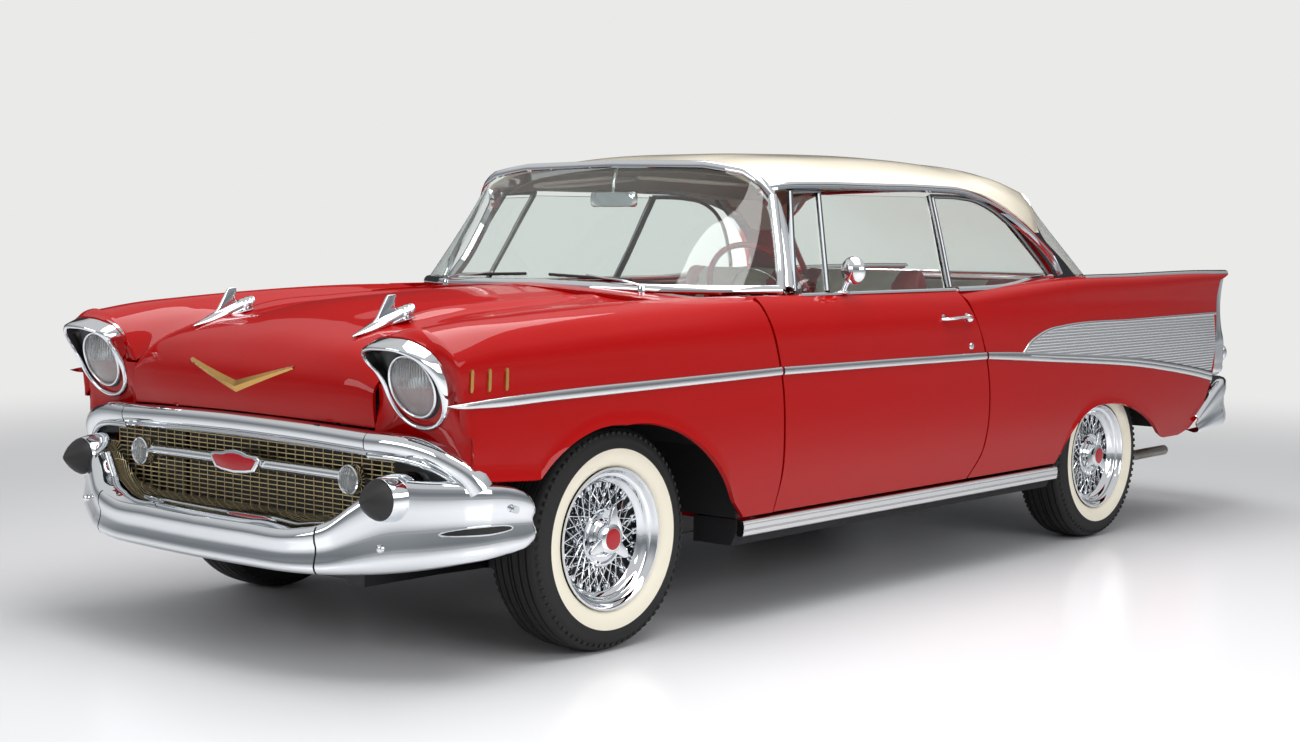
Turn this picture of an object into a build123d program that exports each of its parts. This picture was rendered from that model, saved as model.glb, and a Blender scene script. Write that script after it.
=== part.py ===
# Two-door hardtop car of the middle 1950s, in millimetres.
# Frame: origin on the ground under the middle of the car, +X to the car's left, +Y to its rear, +Z up.
import os
from math import atan2, cos, hypot, radians, sin

from build123d import *

os.makedirs("parts", exist_ok=True)

# Driving sizes
FRONT_AXLE_Y = -1672.0
WHEELBASE = 2921.0
REAR_AXLE_Y = FRONT_AXLE_Y + WHEELBASE
WHEEL_X = 738.0            # middle of each tyre
TYRE_R = 330.0
TYRE_WIDTH = 200.0
RIM_R = 206.0
SKIN = 16.0                # thickness of a body shell
PANEL_GAP = 10.0           # gap between panels that move
SEAT_GAP = 0.3             # gap where one piece sits on another
PIVOT_GAP = 0.3            # radial clearance round a stub axle
STUB_R = 20.0
KINGPIN_X = 610.0
DOOR_DEPTH = 66.0
SILL_TOP = 334.0
DOOR_BOTTOM = SILL_TOP + PANEL_GAP
FLOOR_Z = 316.0
FLOOR_T = 16.0
TUNNEL_TOP = 456.0
CUSHION_LOW = 460.0
TRUNK_FLOOR_Z = 402.0
TAIL_Y = 2246.0             # inner face of the tail panel
GLASS_T = 6.0
ROOF_T = 26.0
DOOR_BELT_Z = 1018.0
DECK_Z = 1036.0
COWL_Y = -1268.0           # front edge of the cowl top
TRUNK_Y = 1722.0           # front edge of the trunk lid
WIRE_SPOKES = 24           # in each of the two rows of a wheel
GRILLE_Z = (430, 636)      # foot and top of the grille mesh
GRILLE_Y = -2330           # front of the mesh
GRILLE_DEPTH = 22
GRILLE_COUNT = (18, 9)     # spaces across and up
PARK_LAMP_X = 487
PARK_LAMP_R = 38
LENS_R = 86
LAMP_X, LAMP_Y, LAMP_Z = 722.0, -2344.9, 806.0
LAMP_OUT = (0, -275, -84)  # direction that a headlamp faces
BULLET_X, BULLET_Y, BULLET_Z = 694.0, -2440.0, 507.0
BULLET_R = 57.0
BULLET_DEPTH = 40.0        # how far the collar is open for its rubber tip
ARM_LOW_TOP = 226.0
ARM_HIGH_LOW = 452.0
AXLE_POT_R = 130.0
TANK_CLEARANCE = 221.0     # from the axle's pot to the fuel tank
RAIL_TOP = 300.0
HORN_LOW = 298.0           # underside of the frame horns that carry the front bumper
COWL_BACK_Y = -1080.0
COWL_TOP = [(0, 1040), (380, 1024), (640, 1006), (684, 1001)]
GEARBOX_END = -560.0
EXHAUST_Z = 188.0
EXHAUST_SIZE = 44.0
COLUMN_TILT = 27.0
COLUMN_R = 24.0
WHEEL_HUB = (375.0, -400.0, 980.0)
STEERING_R = 216.0
GLASS_PLANE = (800.0, 1022.0, 665.0, 1355.0)   # x and z of the side glass at its foot, then at its top


# Small helpers
def flat(points):
    return make_face(Polyline(*points, close=True))


def across(points, x_from, x_to):
    """A prism along X on an outline of (y, z) points."""
    return extrude(flat([(x_from, y, z) for y, z in points]), amount=x_to - x_from, dir=(1, 0, 0))


def along(points, y_from, y_to):
    """A prism along Y on an outline of (x, z) points."""
    return extrude(flat([(x, y_from, z) for x, z in points]), amount=y_to - y_from, dir=(0, 1, 0))


def upward(points, z_from, z_to):
    """A prism along Z on an outline of (x, y) points."""
    return extrude(flat([(x, y, z_from) for x, y in points]), amount=z_to - z_from, dir=(0, 0, 1))


def block(x_from, x_to, y_from, y_to, z_from, z_to):
    return upward([(x_from, y_from), (x_to, y_from), (x_to, y_to), (x_from, y_to)], z_from, z_to)


def mirrored(shape):
    return mirror(shape, about=Plane.YZ)


def both(shape):
    return [shape, mirrored(shape)]


def inset(points, depth):
    """Points of an open (x, z) line moved sideways by depth, to the left of its direction."""
    moved = []
    for i, (x, z) in enumerate(points):
        before = points[max(i - 1, 0)]
        after = points[min(i + 1, len(points) - 1)]
        a = (x - before[0], z - before[1])
        b = (after[0] - x, after[1] - z)
        a = b if a == (0, 0) else a
        b = a if b == (0, 0) else b
        na = (-a[1] / hypot(*a), a[0] / hypot(*a))
        nb = (-b[1] / hypot(*b), b[0] / hypot(*b))
        nx, nz = na[0] + nb[0], na[1] + nb[1]
        scale = depth * 2 / max(nx * nx + nz * nz, 1.2)
        moved.append((x + nx * scale, z + nz * scale))
    return moved


def layer(rows, inner, outer, peak=None):
    """A shell between two depths of the lines of a section table; the inner line skips the peak column."""
    faces = []
    for y, line in rows:
        top = inset(line, -outer)
        low = inset([point for i, point in enumerate(line) if i != peak], -inner)
        faces.append(flat([(x, y, z) for x, z in top + low[::-1]]))
    return loft(faces, ruled=True)


def bar(path, width, height, up=(0, 0, 1)):
    """A rectangular bar along a path of points, width sideways and height along up."""
    faces = []
    for i, point in enumerate(path):
        here = Vector(*point)
        before = Vector(*path[max(i - 1, 0)])
        after = Vector(*path[min(i + 1, len(path) - 1)])
        run = (after - before).normalized()
        side = run.cross(Vector(*up)).normalized()
        rise = side.cross(run).normalized()
        corners = [here + side * (a * width / 2) + rise * (b * height / 2)
                   for a, b in ((-1, -1), (1, -1), (1, 1), (-1, 1))]
        faces.append(flat([tuple(c) for c in corners]))
    return loft(faces, ruled=True)


def rod(start, end, radius):
    run = Vector(*end) - Vector(*start)
    return extrude(Plane(origin=start, z_dir=tuple(run.normalized())) * Circle(radius), amount=run.length)


def ring_about_x(profile):
    """A body of revolution about the X axis from (x, radius) points."""
    return revolve(flat([(x, 0, r) for x, r in profile]), axis=Axis.X)


# Section tables. Each row: y, then the line from the rocker up to the inner edge of the top.
# Columns of a front row, each (x, z): sill, low side, bulge, spear, shoulder, crown, ridge, wall, hood gap.
FRONT_ROWS = [
    (-2440, [(852, 400), (858, 540), (860, 660), (858, 780), (848, 880), (806, 926), (722, 945),
             (622, 895), (574, 780)]),
    (-2340, [(872, 400), (880, 540), (882, 660), (876, 785), (864, 896), (822, 936), (726, 958),
             (622, 905), (574, 800)]),
    (-2200, [(884, 330), (894, 500), (894, 650), (890, 790), (876, 915), (838, 955), (738, 976),
             (640, 930), (592, 872)]),
    (-2000, [(886, 300), (901, 500), (904, 650), (898, 790), (884, 924), (848, 968), (747, 992),
             (665, 962), (614, 935)]),
    (-1700, [(888, 290), (908, 500), (910, 650), (904, 790), (889, 938), (855, 980), (766, 1008),
             (690, 986), (644, 966)]),
    (-1350, [(888, 290), (911, 500), (913, 650), (907, 790), (891, 945), (862, 988), (786, 1018),
             (712, 1002), (669, 986)]),
    (-1040, [(888, 290), (912, 500), (915, 650), (908, 790), (892, 950), (868, 996), (800, 1018),
             (735, 1012), (694, 1004)]),
]
# Hood columns, each (x, z): edge at the gap, shoulder, windsplit, flat, centre.
HOOD_ROWS = [
    (-2348, [(566, 792), (500, 806), (370, 812), (200, 818), (0, 820)]),
    (-2310, [(570, 815), (500, 850), (370, 868), (200, 872), (0, 876)]),
    (-2200, [(584, 872), (500, 905), (370, 930), (200, 940), (0, 948)]),
    (-2000, [(606, 935), (500, 955), (372, 975), (200, 988), (0, 998)]),
    (-1700, [(636, 966), (520, 980), (376, 998), (200, 1012), (0, 1023)]),
    (-1276, [(666, 988), (540, 1000), (380, 1016), (200, 1028), (0, 1040)]),
]
# Door columns, each (x, z): sill, low side, bulge, spear, shoulder, belt, top outer edge.
DOOR_ROWS = [
    (-1060, [(888, 330), (912, 500), (915, 650), (908, 790), (892, 950), (868, 1000), (850, DOOR_BELT_Z)]),
    (-500, [(888, 330), (912, 500), (915, 650), (908, 790), (892, 950), (868, 1000), (850, DOOR_BELT_Z)]),
    (262, [(888, 330), (912, 500), (915, 650), (908, 790), (892, 945), (868, 994), (850, DOOR_BELT_Z)]),
]
FIN_TOP = 6                # column of the fin's top in the quarter rows
# Quarter columns, each (x, z): sill, low side, bulge, spear, shoulder, fin side, fin top, fin foot,
# deck edge.
QUARTER_ROWS = [
    (120, [(888, 330), (912, 500), (915, 650), (908, 790), (892, 945), (868, 994), (846, 1010),
           (800, 1016), (770, 1016)]),
    (560, [(888, 330), (912, 500), (914, 650), (908, 790), (892, 940), (866, 1020), (842, 1030),
           (800, 1024), (740, 1024)]),
    (900, [(886, 330), (911, 500), (913, 650), (906, 790), (890, 940), (865, 1040), (838, 1048),
           (798, DECK_Z), (700, DECK_Z)]),
    (1500, [(882, 330), (904, 500), (907, 650), (899, 790), (884, 940), (863, 1046), (836, 1054),
            (798, DECK_Z), (690, DECK_Z)]),
    (1730, [(876, 330), (900, 500), (903, 650), (895, 790), (880, 940), (862, 1048), (836, 1057),
            (795, 1004), (690, 1008)]),
    (2050, [(866, 330), (890, 500), (894, 650), (888, 790), (872, 940), (862, 1050), (837, 1060),
            (792, 946), (690, 948)]),
    (2355, [(850, 330), (872, 500), (878, 650), (874, 790), (864, 940), (858, 1048), (840, 1058),
            (790, 830), (690, 800)]),
]
# Roof columns, each (x, z): rail, side, haunch, crown side, centre.
ROOF_ROWS = [
    (-745, [(628, 1366), (590, 1392), (500, 1424), (300, 1448), (0, 1454)]),
    (-550, [(655, 1380), (606, 1412), (500, 1450), (300, 1476), (0, 1483)]),
    (-100, [(668, 1386), (612, 1430), (500, 1470), (300, 1497), (0, 1504)]),
    (400, [(672, 1386), (612, 1430), (500, 1470), (300, 1498), (0, 1505)]),
    (800, [(668, 1372), (606, 1414), (500, 1452), (300, 1480), (0, 1488)]),
    (1130, [(622, 1345), (570, 1372), (470, 1398), (300, 1416), (0, 1424)]),
]


# Side outlines as (y, z)
def arch_face(points, arcs, x_from, x_to):
    """A prism along X whose outline closes straight points with three-point arcs."""
    edges = [Polyline(*[(x_from, y, z) for y, z in points])]
    for start, middle, end in arcs:
        edges.append(ThreePointArc(*[(x_from, y, z) for y, z in (start, middle, end)]))
    return extrude(make_face(edges), amount=x_to - x_from, dir=(1, 0, 0))


FRONT_ARCH = [((-2050, 545), (-1905, 645), (-1700, 672)), ((-1700, 672), (-1385, 592), (-1200, 400))]
REAR_ARCH = [((800, DOOR_BOTTOM), (895, 474), (1122, 552)), ((1122, 552), (1400, 516), (1655, 394))]
DOOR_FRONT = [(-1050, 1040), (-1010, 920), (-975, 800), (-960, 600), (-965, 440), (-985, DOOR_BOTTOM)]
DOOR_REAR = [(150, DOOR_BOTTOM), (220, 420), (245, 500), (255, 600), (250, 700), (230, 800), (175, 920),
             (110, 1040)]


def shifted(points, dy):
    return [(y + dy, z) for y, z in points]


def fender_left():
    skin = layer(FRONT_ROWS, -SKIN, 0)
    points = [(-1200, 400), (-1150, 352), (-1148, DOOR_BOTTOM)] + shifted(DOOR_FRONT, -PANEL_GAP)[::-1]
    points += [(-1058, 1100), (-2440, 1100), (-2384, 935), (-2300, 660), (-2300, 562), (-2200, 554),
               (-2050, 545)]
    fender = skin & arch_face(points, FRONT_ARCH, 500, 960)
    under_lamp = along([(574, 600), (882, 600), (882, 665), (574, 665)], -2300, -2284)
    under_lamp = under_lamp & across([(-2310, 590), (-2280, 585), (-2280, 700), (-2310, 700)], 560, 884)
    return fender + under_lamp


def door_left():
    faces = []
    for y, line in DOOR_ROWS:
        inner = [(line[-1][0] - DOOR_DEPTH + 18, line[-1][1]), (line[0][0] - DOOR_DEPTH, line[0][1])]
        faces.append(flat([(x, y, z) for x, z in line + inner]))
    solid = loft(faces, ruled=True)
    return solid & across(DOOR_FRONT + DOOR_REAR, 700, 960)


def quarter_left():
    skin = layer(QUARTER_ROWS, -SKIN, 0, peak=FIN_TOP)
    points = [(1655, 394), (1711, 372), (1855, 372), (1955, 394), (2044, 456), (2100, 533), (2133, 589),
              (2167, 650)]
    points += [(2180, 755), (2205, 866), (2222, 955), (2240, 1022), (2352, 1048), (2350, 1090), (100, 1090)]
    points += shifted(DOOR_REAR, PANEL_GAP)[::-1] + [(800, DOOR_BOTTOM)]
    quarter = skin & arch_face(points, REAR_ARCH, 600, 960)
    pillar = block(800, 900, 262, 330, SILL_TOP, 1000) & outer_hull(QUARTER_ROWS)
    cut = across([(100, SILL_TOP), (270, SILL_TOP)] + shifted(DOOR_REAR, PANEL_GAP), 700, 960)
    return quarter + (pillar - cut)


def outer_hull(rows):
    """The full volume inside the lines of a section table, down to its lowest point and in to x = 500."""
    faces = []
    for y, line in rows:
        faces.append(flat([(x, y, z) for x, z in line + [(500, line[-1][1]), (500, line[0][1])]]))
    return loft(faces, ruled=True)


def hood():
    faces = []
    for y, line in HOOD_ROWS:
        edge = [(line[0][0] - PANEL_GAP, line[0][1])] + line[1:]
        low = inset(edge, SKIN)[::-1]
        faces.append(flat([(x, y, z) for x, z in [(-x, z) for x, z in edge] + edge[::-1][1:]
                           + low[::-1] + [(-x, z) for x, z in low[1:]]]))
    top_shell = loft(faces, ruled=True)
    nose = across([(-2348, 822), (-2362, 800), (-2372, 770), (-2374, 702), (-2358, 702), (-2352, 780),
                   (-2340, 806),
                   (-2330, 806)], -556, 556)
    return top_shell + nose


def hood_rockets():
    spear = Plane(origin=(372, -2240, 926), z_dir=(0, 1, 0.3)) * Circle(5)
    body = Plane(origin=(372, -2150, 962), z_dir=(0, 1, 0.3)) * Circle(19)
    tail = Plane(origin=(372, -2050, 986), z_dir=(0, 1, 0.3)) * Circle(14)
    shape = loft([spear, body, tail])
    fin = across([(-2180, 960), (-2112, 1026), (-2098, 1024), (-2066, 985)], 369, 375)
    return shape + fin


def hood_chevron():
    arm = bar([(0, -2369, 765), (118, -2362, 800), (236, -2345, 829)], 10, 26, up=(0, 0, 1))
    return arm + mirrored(arm)


def roof():
    faces = []
    for y, line in ROOF_ROWS:
        low = inset(line, ROOF_T)
        faces.append(flat([(x, y, z) for x, z in [(-x, z) for x, z in line] + line[::-1][1:]
                           + low + [(-x, z) for x, z in low[::-1][1:]]]))
    shell = loft(faces, ruled=True)
    sail_rows = [
        (DECK_Z, [(770, 990), (712, 1262), (684, 1250), (742, 985)]),
        (1110, [(745, 940), (690, 1180), (662, 1168), (716, 938)]),
        (1209, [(712, 840), (655, 1062), (628, 1052), (684, 838)]),
        (1290, [(690, 680), (632, 1050), (606, 1030), (662, 678)]),
        (1382, [(670, 480), (612, 1040), (575, 1020), (640, 478)]),
    ]
    sail = loft([flat([(x, y, z) for x, y in line]) for z, line in sail_rows], ruled=True)
    return shell + sail + mirrored(sail)


def under_roof(row, y_from, y_to):
    """The space below the inner line of one roof section, wide open at its foot."""
    line = inset(row[1], ROOF_T)
    foot = [(900, 990), (900, 900)]
    outline = [(-x, z) for x, z in foot[::-1]] + [(-x, z) for x, z in line] + line[::-1][1:] + foot
    return along(outline, y_from, y_to)


def windshield():
    rows = [
        (1000, [(0, -1200), (320, -1178), (580, -1100), (735, -985), (800, -838)]),
        (1120, [(0, -1085), (310, -1066), (565, -1000), (708, -905), (764, -802)]),
        (1280, [(0, -915), (300, -902), (545, -864), (668, -805), (700, -750)]),
        (1460, [(0, -756), (290, -754), (510, -746), (600, -728), (628, -700)]),
    ]
    faces = []
    for z, line in rows:
        outer = [(-x, y) for x, y in line[::-1][:-1]] + line
        inner = [(x, y + GLASS_T) for x, y in outer[::-1]]
        faces.append(flat([(x, y, z) for x, y in outer + inner]))
    pane = loft(faces, ruled=True)
    return pane & under_roof(ROOF_ROWS[0], -1300, -500)


def door_top_room():
    """Space that the front top corner of an opening door sweeps through."""
    return block(680, 860, -1100, -700, 960, DOOR_BELT_Z + PANEL_GAP)


def rear_window():
    rows = [
        (DECK_Z, [(0, 1690), (250, 1680), (450, 1636), (600, 1520), (680, 1290)]),
        (1215, [(0, 1440), (240, 1430), (430, 1390), (565, 1290), (622, 1100)]),
        (1400, [(0, 1118), (230, 1114), (400, 1100), (510, 1078), (585, 1046)]),
    ]
    faces = []
    for z, line in rows:
        outer = [(-x, y) for x, y in line[::-1][:-1]] + line
        inner = [(x, y - GLASS_T) for x, y in outer[::-1]]
        faces.append(flat([(x, y, z) for x, y in outer + inner]))
    return loft(faces, ruled=True) & under_roof(ROOF_ROWS[-1], 900, 1800)


def side_pane(points):
    """A flat leaning pane from (y, z) points: its x falls as it rises."""
    low_x, low_z, top_x, top_z = GLASS_PLANE
    lean = (low_x - top_x) / (top_z - low_z)
    face = flat([(low_x - lean * (z - low_z), y, z) for y, z in points])
    out = (cos(atan2(lean, 1)), 0, sin(atan2(lean, 1)))
    return extrude(face, amount=GLASS_T, dir=(-out[0], 0, -out[2]))


def door_glass_left():
    main = side_pane([(-590, DOOR_BELT_Z), (126, DOOR_BELT_Z), (206, 1350), (-468, 1346)])
    vent = side_pane([(-782, DOOR_BELT_Z), (-600, DOOR_BELT_Z), (-484, 1340), (-645, 1334)])
    return [main, vent]


def quarter_glass_left():
    return side_pane([(156, 1024.3), (690, 1030), (880, 1060), (800, 1150), (700, 1255), (610, 1310),
                      (500, 1344), (228, 1350)])


def front_bumper():
    # station: x, y of the face, lower edge z, upper edge z
    rows = [(0, -2540, 285, 408), (420, -2524, 288, 412), (620, -2462, 298, 500), (700, -2424, 306, 556),
            (800, -2366, 322, 560), (868, -2300, 336, 557), (903, -2200, 346, 548), (905, -2075, 360, 515)]
    faces = []
    for i, (x, y, low, high) in enumerate(rows):
        before, after = rows[max(i - 1, 0)], rows[min(i + 1, len(rows) - 1)]
        run = Vector(after[0] - before[0], after[1] - before[1], 0).normalized()
        out = run.cross(Vector(0, 0, 1)).normalized()
        here = Vector(x, y, 0)
        mid = (low + high) / 2
        line = [(-70, low + 6), (-18, low), (0, low + 28), (-12, mid), (0, high - 26), (-16, high),
                (-62, high - 4),
                (-60, high - 16), (-24, high - 22), (-32, mid), (-24, low + 26), (-66, low + 20)]
        faces.append(flat([tuple(here + out * d + Vector(0, 0, z)) for d, z in line]))
    half = loft(faces, ruled=True)
    bumper = half + mirrored(half)
    for x in (-BULLET_X, BULLET_X):
        collar = Plane(origin=(x, -2300, BULLET_Z + 5), z_dir=(0, -1, 0)) * Circle(BULLET_R + 5)
        collar_end = Plane(origin=(x, BULLET_Y, BULLET_Z), z_dir=(0, -1, 0)) * Circle(BULLET_R)
        bumper = bumper + loft([collar, collar_end])
    return bumper


def bullet_room():
    """Space in the collar's end for the rubber tip."""
    room = Cylinder(BULLET_R, BULLET_DEPTH, align=(Align.CENTER, Align.CENTER, Align.MIN))
    return Plane(origin=(BULLET_X, BULLET_Y, BULLET_Z), z_dir=(0, -1, 0)) * room


def bumper_bullets():
    profile = [(0, 0), (54, 0), (52, 20), (44, 40), (30, 54), (14, 63), (0, 66)]
    cone = revolve(flat([(r, 0, z) for r, z in profile]), axis=Axis.Z)
    left = Plane(origin=(BULLET_X, BULLET_Y, BULLET_Z), z_dir=(0, -1, 0)) * cone
    return [left, mirrored(left)]


def grille_mesh():
    low, high = GRILLE_Z
    count_x, count_z = GRILLE_COUNT
    half = 622
    bars = []
    for i in range(count_z + 1):
        z = low + (high - low - 6) * i / count_z
        bars.append(block(-half, half, GRILLE_Y, GRILLE_Y + 6, z, z + 6))
    for i in range(count_x + 1):
        x = -half + (2 * half - 4) * i / count_x
        bars.append(block(x, x + 4, GRILLE_Y, GRILLE_Y + GRILLE_DEPTH, low, high))
    return bars[0].fuse(*bars[1:])


def grille_bars():
    header = bar([(-812, -2338, 560), (-790, -2350, 608), (-720, -2362, 640), (-561, -2374, 656),
                  (-300, -2386, 664),
                  (0, -2392, 666), (300, -2386, 664), (561, -2374, 656), (720, -2362, 640), (790, -2350, 608),
                  (812, -2338, 560)], 34, 46)
    reach = PARK_LAMP_X - PARK_LAMP_R - SEAT_GAP
    centre = block(-reach, reach, -2362, GRILLE_Y, 527, 562)
    plaque = block(-110, 110, -2370, GRILLE_Y, 508, 572)
    return [header, centre + plaque]


def parking_lamps():
    shape = ring_about_x([(0, 0), (0, PARK_LAMP_R), (40, 35), (52, 18), (54, 0)])
    left = Plane(origin=(PARK_LAMP_X, GRILLE_Y, 544), x_dir=(0, -1, 0), z_dir=(0, 0, 1)) * shape
    return [left, mirrored(left)]


def headlight_bezels():
    profile = [(LENS_R, 0), (124, 0), (122, 22), (110, 40), (LENS_R + 6, 44), (LENS_R, 20)]
    ring = revolve(flat([(r, 0, z) for r, z in profile]), axis=Axis.Z)
    left = Plane(origin=(LAMP_X, LAMP_Y, LAMP_Z), z_dir=LAMP_OUT) * ring
    return [left, mirrored(left)]


def headlight_lenses():
    rim_r, crown = LENS_R - SEAT_GAP, 22
    ball_r = (rim_r ** 2 + crown ** 2) / (2 * crown)
    dome = Pos(0, 0, crown - ball_r) * Sphere(ball_r) & Pos(0, 0, crown / 2) * Cylinder(rim_r, crown)
    bucket = revolve(flat([(0, 0, -60), (60, 0, -60), (84, 0, 0), (0, 0, 0)]), axis=Axis.Z)
    left = Plane(origin=(LAMP_X, LAMP_Y, LAMP_Z), z_dir=LAMP_OUT) * (dome + bucket)
    return [left, mirrored(left)]


def tyre():
    half = TYRE_WIDTH / 2
    edges = [ThreePointArc((-half + 22, 0, RIM_R - 14), (-half, 0, 262), (-half + 26, 0, TYRE_R - 8)),
             ThreePointArc((-half + 26, 0, TYRE_R - 8), (0, 0, TYRE_R), (half - 26, 0, TYRE_R - 8)),
             ThreePointArc((half - 26, 0, TYRE_R - 8), (half, 0, 262), (half - 22, 0, RIM_R - 14)),
             Polyline((half - 22, 0, RIM_R - 14), (half - 22, 0, RIM_R - 22), (-half + 22, 0, RIM_R - 22),
                      (-half + 22, 0, RIM_R - 14))]
    return revolve(make_face(edges), axis=Axis.X)


def wire_wheel():
    """Rim, two rows of crossing spokes and hub barrel about the X axis, outer side towards +X."""
    half = TYRE_WIDTH / 2
    rim = ring_about_x([(-half + 22, RIM_R - 22.3), (half - 22, RIM_R - 22.3), (half - 21.7, RIM_R),
                        (half - 14, RIM_R + 2),
                        (half - 8, RIM_R - 6), (half - 14, RIM_R - 28), (20, RIM_R - 46),
                            (-half + 30, RIM_R - 42),
                        (-half + 14, RIM_R - 28), (-half + 14, RIM_R), (-half + 21.7, RIM_R)])
    rim = rim - tyre()
    hub = ring_about_x([(-60, STUB_R + PIVOT_GAP), (40, STUB_R + PIVOT_GAP), (40, 0), (84, 0), (92, 16),
                        (84, 30),
                        (62, 34), (56, 52), (-60, 62)])
    spokes = []
    step = 360 / WIRE_SPOKES
    for i in range(WIRE_SPOKES):
        for hub_x, rim_x, lead in ((50, 44, 26), (-20, 6, -30)):
            a, b = radians(i * step), radians(i * step + lead)
            reach = RIM_R - 32 if hub_x > 0 else RIM_R - 44
            start = (hub_x, 48 * cos(a), 48 * sin(a))
            end = (rim_x, reach * cos(b), reach * sin(b))
            spokes.append(bar([start, end], 4.5, 4.5, up=(1, 0, 0.01)))
    ears = block(70, 88, -14, 14, -78, 78)
    ears = ears - ring_about_x([(60, 0), (83, 0), (83, 29), (60, 33)])
    return rim.fuse(hub, ears, *spokes)


def knuckle_left():
    """Stub axle, backing plate, kingpin post and steering arm."""
    z = TYRE_R
    stub = rod((KINGPIN_X, FRONT_AXLE_Y, z), (WHEEL_X + 36, FRONT_AXLE_Y, z), STUB_R)
    plate = rod((KINGPIN_X + 6, FRONT_AXLE_Y, z), (KINGPIN_X + 20, FRONT_AXLE_Y, z), 95)
    post = rod((KINGPIN_X, FRONT_AXLE_Y, ARM_LOW_TOP + SEAT_GAP),
        (KINGPIN_X, FRONT_AXLE_Y, ARM_HIGH_LOW - SEAT_GAP), 18)
    arm = bar([(KINGPIN_X, FRONT_AXLE_Y, z - 40), (KINGPIN_X - 22, FRONT_AXLE_Y + 150, z - 40)], 26, 18)
    return stub + plate + post + arm


def front_suspension():
    """Crossmember, upper and lower arms and coil springs; fixed."""
    cross = block(-300, 300, FRONT_AXLE_Y - 70, FRONT_AXLE_Y + 70, 190, 300)
    low = upward([(300, FRONT_AXLE_Y - 110), (KINGPIN_X - 30, FRONT_AXLE_Y - 24),
                  (KINGPIN_X + 16, FRONT_AXLE_Y - 16),
                  (KINGPIN_X + 16, FRONT_AXLE_Y + 16), (KINGPIN_X - 30, FRONT_AXLE_Y + 24),
                  (300, FRONT_AXLE_Y + 110)], ARM_LOW_TOP - 24, ARM_LOW_TOP)
    high = upward([(392, FRONT_AXLE_Y - 90), (KINGPIN_X - 30, FRONT_AXLE_Y - 22),
                   (KINGPIN_X + 16, FRONT_AXLE_Y - 14),
                   (KINGPIN_X + 16, FRONT_AXLE_Y + 14), (KINGPIN_X - 30, FRONT_AXLE_Y + 22),
                   (392, FRONT_AXLE_Y + 90)], ARM_HIGH_LOW, ARM_HIGH_LOW + 20)
    tower = block(330, 392, FRONT_AXLE_Y - 90, FRONT_AXLE_Y + 90, RAIL_TOP, ARM_HIGH_LOW + 20)
    return cross + low + high + tower + mirrored(low) + mirrored(high) + mirrored(tower)


def frame_rails():
    side = [(-2240, 210), (-2240, HORN_LOW + 40), (-2190, HORN_LOW + 40), (-2120, RAIL_TOP),
            (-1960, RAIL_TOP), (-1380, RAIL_TOP), (-1150, 280),
            (-1040, FLOOR_Z - 1),
            (660, FLOOR_Z - 1), (900, 468), (1500, 468), (1760, 400), (2215, 400), (2215, 330),
                (1760, 330), (1480, 394), (960, 394),
            (740, 232), (-1000, 210), (-1160, 190), (-1960, 210)]
    rail = across(side, 320, 400)
    frame = rail + mirrored(rail)
    for y_from, y_to, low, high in ((-2230, -2180, 220, 280), (-1180, -1110, 218, 262), (-120, -50, 225, 290),
                                    (640, 700, 228, 288), (2150, 2210, 340, 390)):
        frame += block(-322, 322, y_from, y_to, low, high)
    for x in (-360, 360):
        frame += block(x - 25, x + 25, -2500, -2236, HORN_LOW, 375)
        frame += block(x - 20, x + 20, GRILLE_Y + GRILLE_DEPTH, -2286, 374, 690)
        frame += block(x - 10, x + 10, -2380, GRILLE_Y + GRILLE_DEPTH, 650, 680)
        frame += block(x - 25, x + 25, 2213, 2330, 345, 395)
    return frame


def floor_pan():
    hump = [(-150, FLOOR_Z), (-120, 440), (120, 440), (150, FLOOR_Z)]
    cover = [(-168, FLOOR_Z), (-134, TUNNEL_TOP), (134, TUNNEL_TOP), (168, FLOOR_Z)]
    cabin = block(-700, 700, COWL_BACK_Y, 640, FLOOR_Z, FLOOR_Z + FLOOR_T) + along(cover, COWL_BACK_Y, 900)
    seat_step = across([(640, FLOOR_Z), (900, 470), (900, 486), (640, FLOOR_Z + FLOOR_T)], -600, 600)
    trunk = across([(900, 470), (1600, 470), (1760, TRUNK_FLOOR_Z), (TAIL_Y, TRUNK_FLOOR_Z),
                    (TAIL_Y, TRUNK_FLOOR_Z + FLOOR_T), (1765, TRUNK_FLOOR_Z + FLOOR_T), (1605, 486),
                    (900, 486)], -600, 600)
    return (cabin + seat_step + trunk + seat_base()) - along(hump, -1200, 905)


def sill_left():
    return along([(700, FLOOR_Z + FLOOR_T), (700, 250), (850, 250), (872, 300), (872, SILL_TOP),
                  (780, SILL_TOP)], -1148, 796)


def door_seals_left():
    """Rubber stops on the sill that the closed door rests against."""
    stops = block(790, 830, -620, -590, SILL_TOP, 362) + block(790, 830, 60, 90, SILL_TOP, 362)
    return stops - Pos(-SEAT_GAP, 0, 0) * door_left()


def rocker_trim_left():
    return along([(872.3, 296), (886, 284), (897, 296), (899, 316), (894, 330), (872.3, 333)], -1140, 780)


def cowl_body():
    """Everything below the top line of the cowl."""
    line = COWL_TOP + [(684, 900)]
    return along([(-x, z) for x, z in line[::-1]] + line[1:], COWL_Y, -1010)


def cowl():
    """Firewall, hinge pillars and the panel ahead of the windshield."""
    wall = block(-780, 780, -1100, COWL_BACK_Y, FLOOR_Z, 990)
    pillar = block(780, 866, -1140, -1075, SILL_TOP, 930)
    top = COWL_TOP
    panel = along(top + [(684, 984), (380, 1004), (0, 1020)] + [(-380, 1004), (-684, 984)]
                  + [(-x, z) for x, z in top[::-1][:-1]], COWL_Y, -1010)
    well = block(-684, 684, COWL_Y, COWL_Y + 12, 930, 990)
    shelf = block(-684, 684, COWL_Y, -1100, 918, 930)
    return wall + pillar + mirrored(pillar) + (panel + well + shelf)


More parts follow.
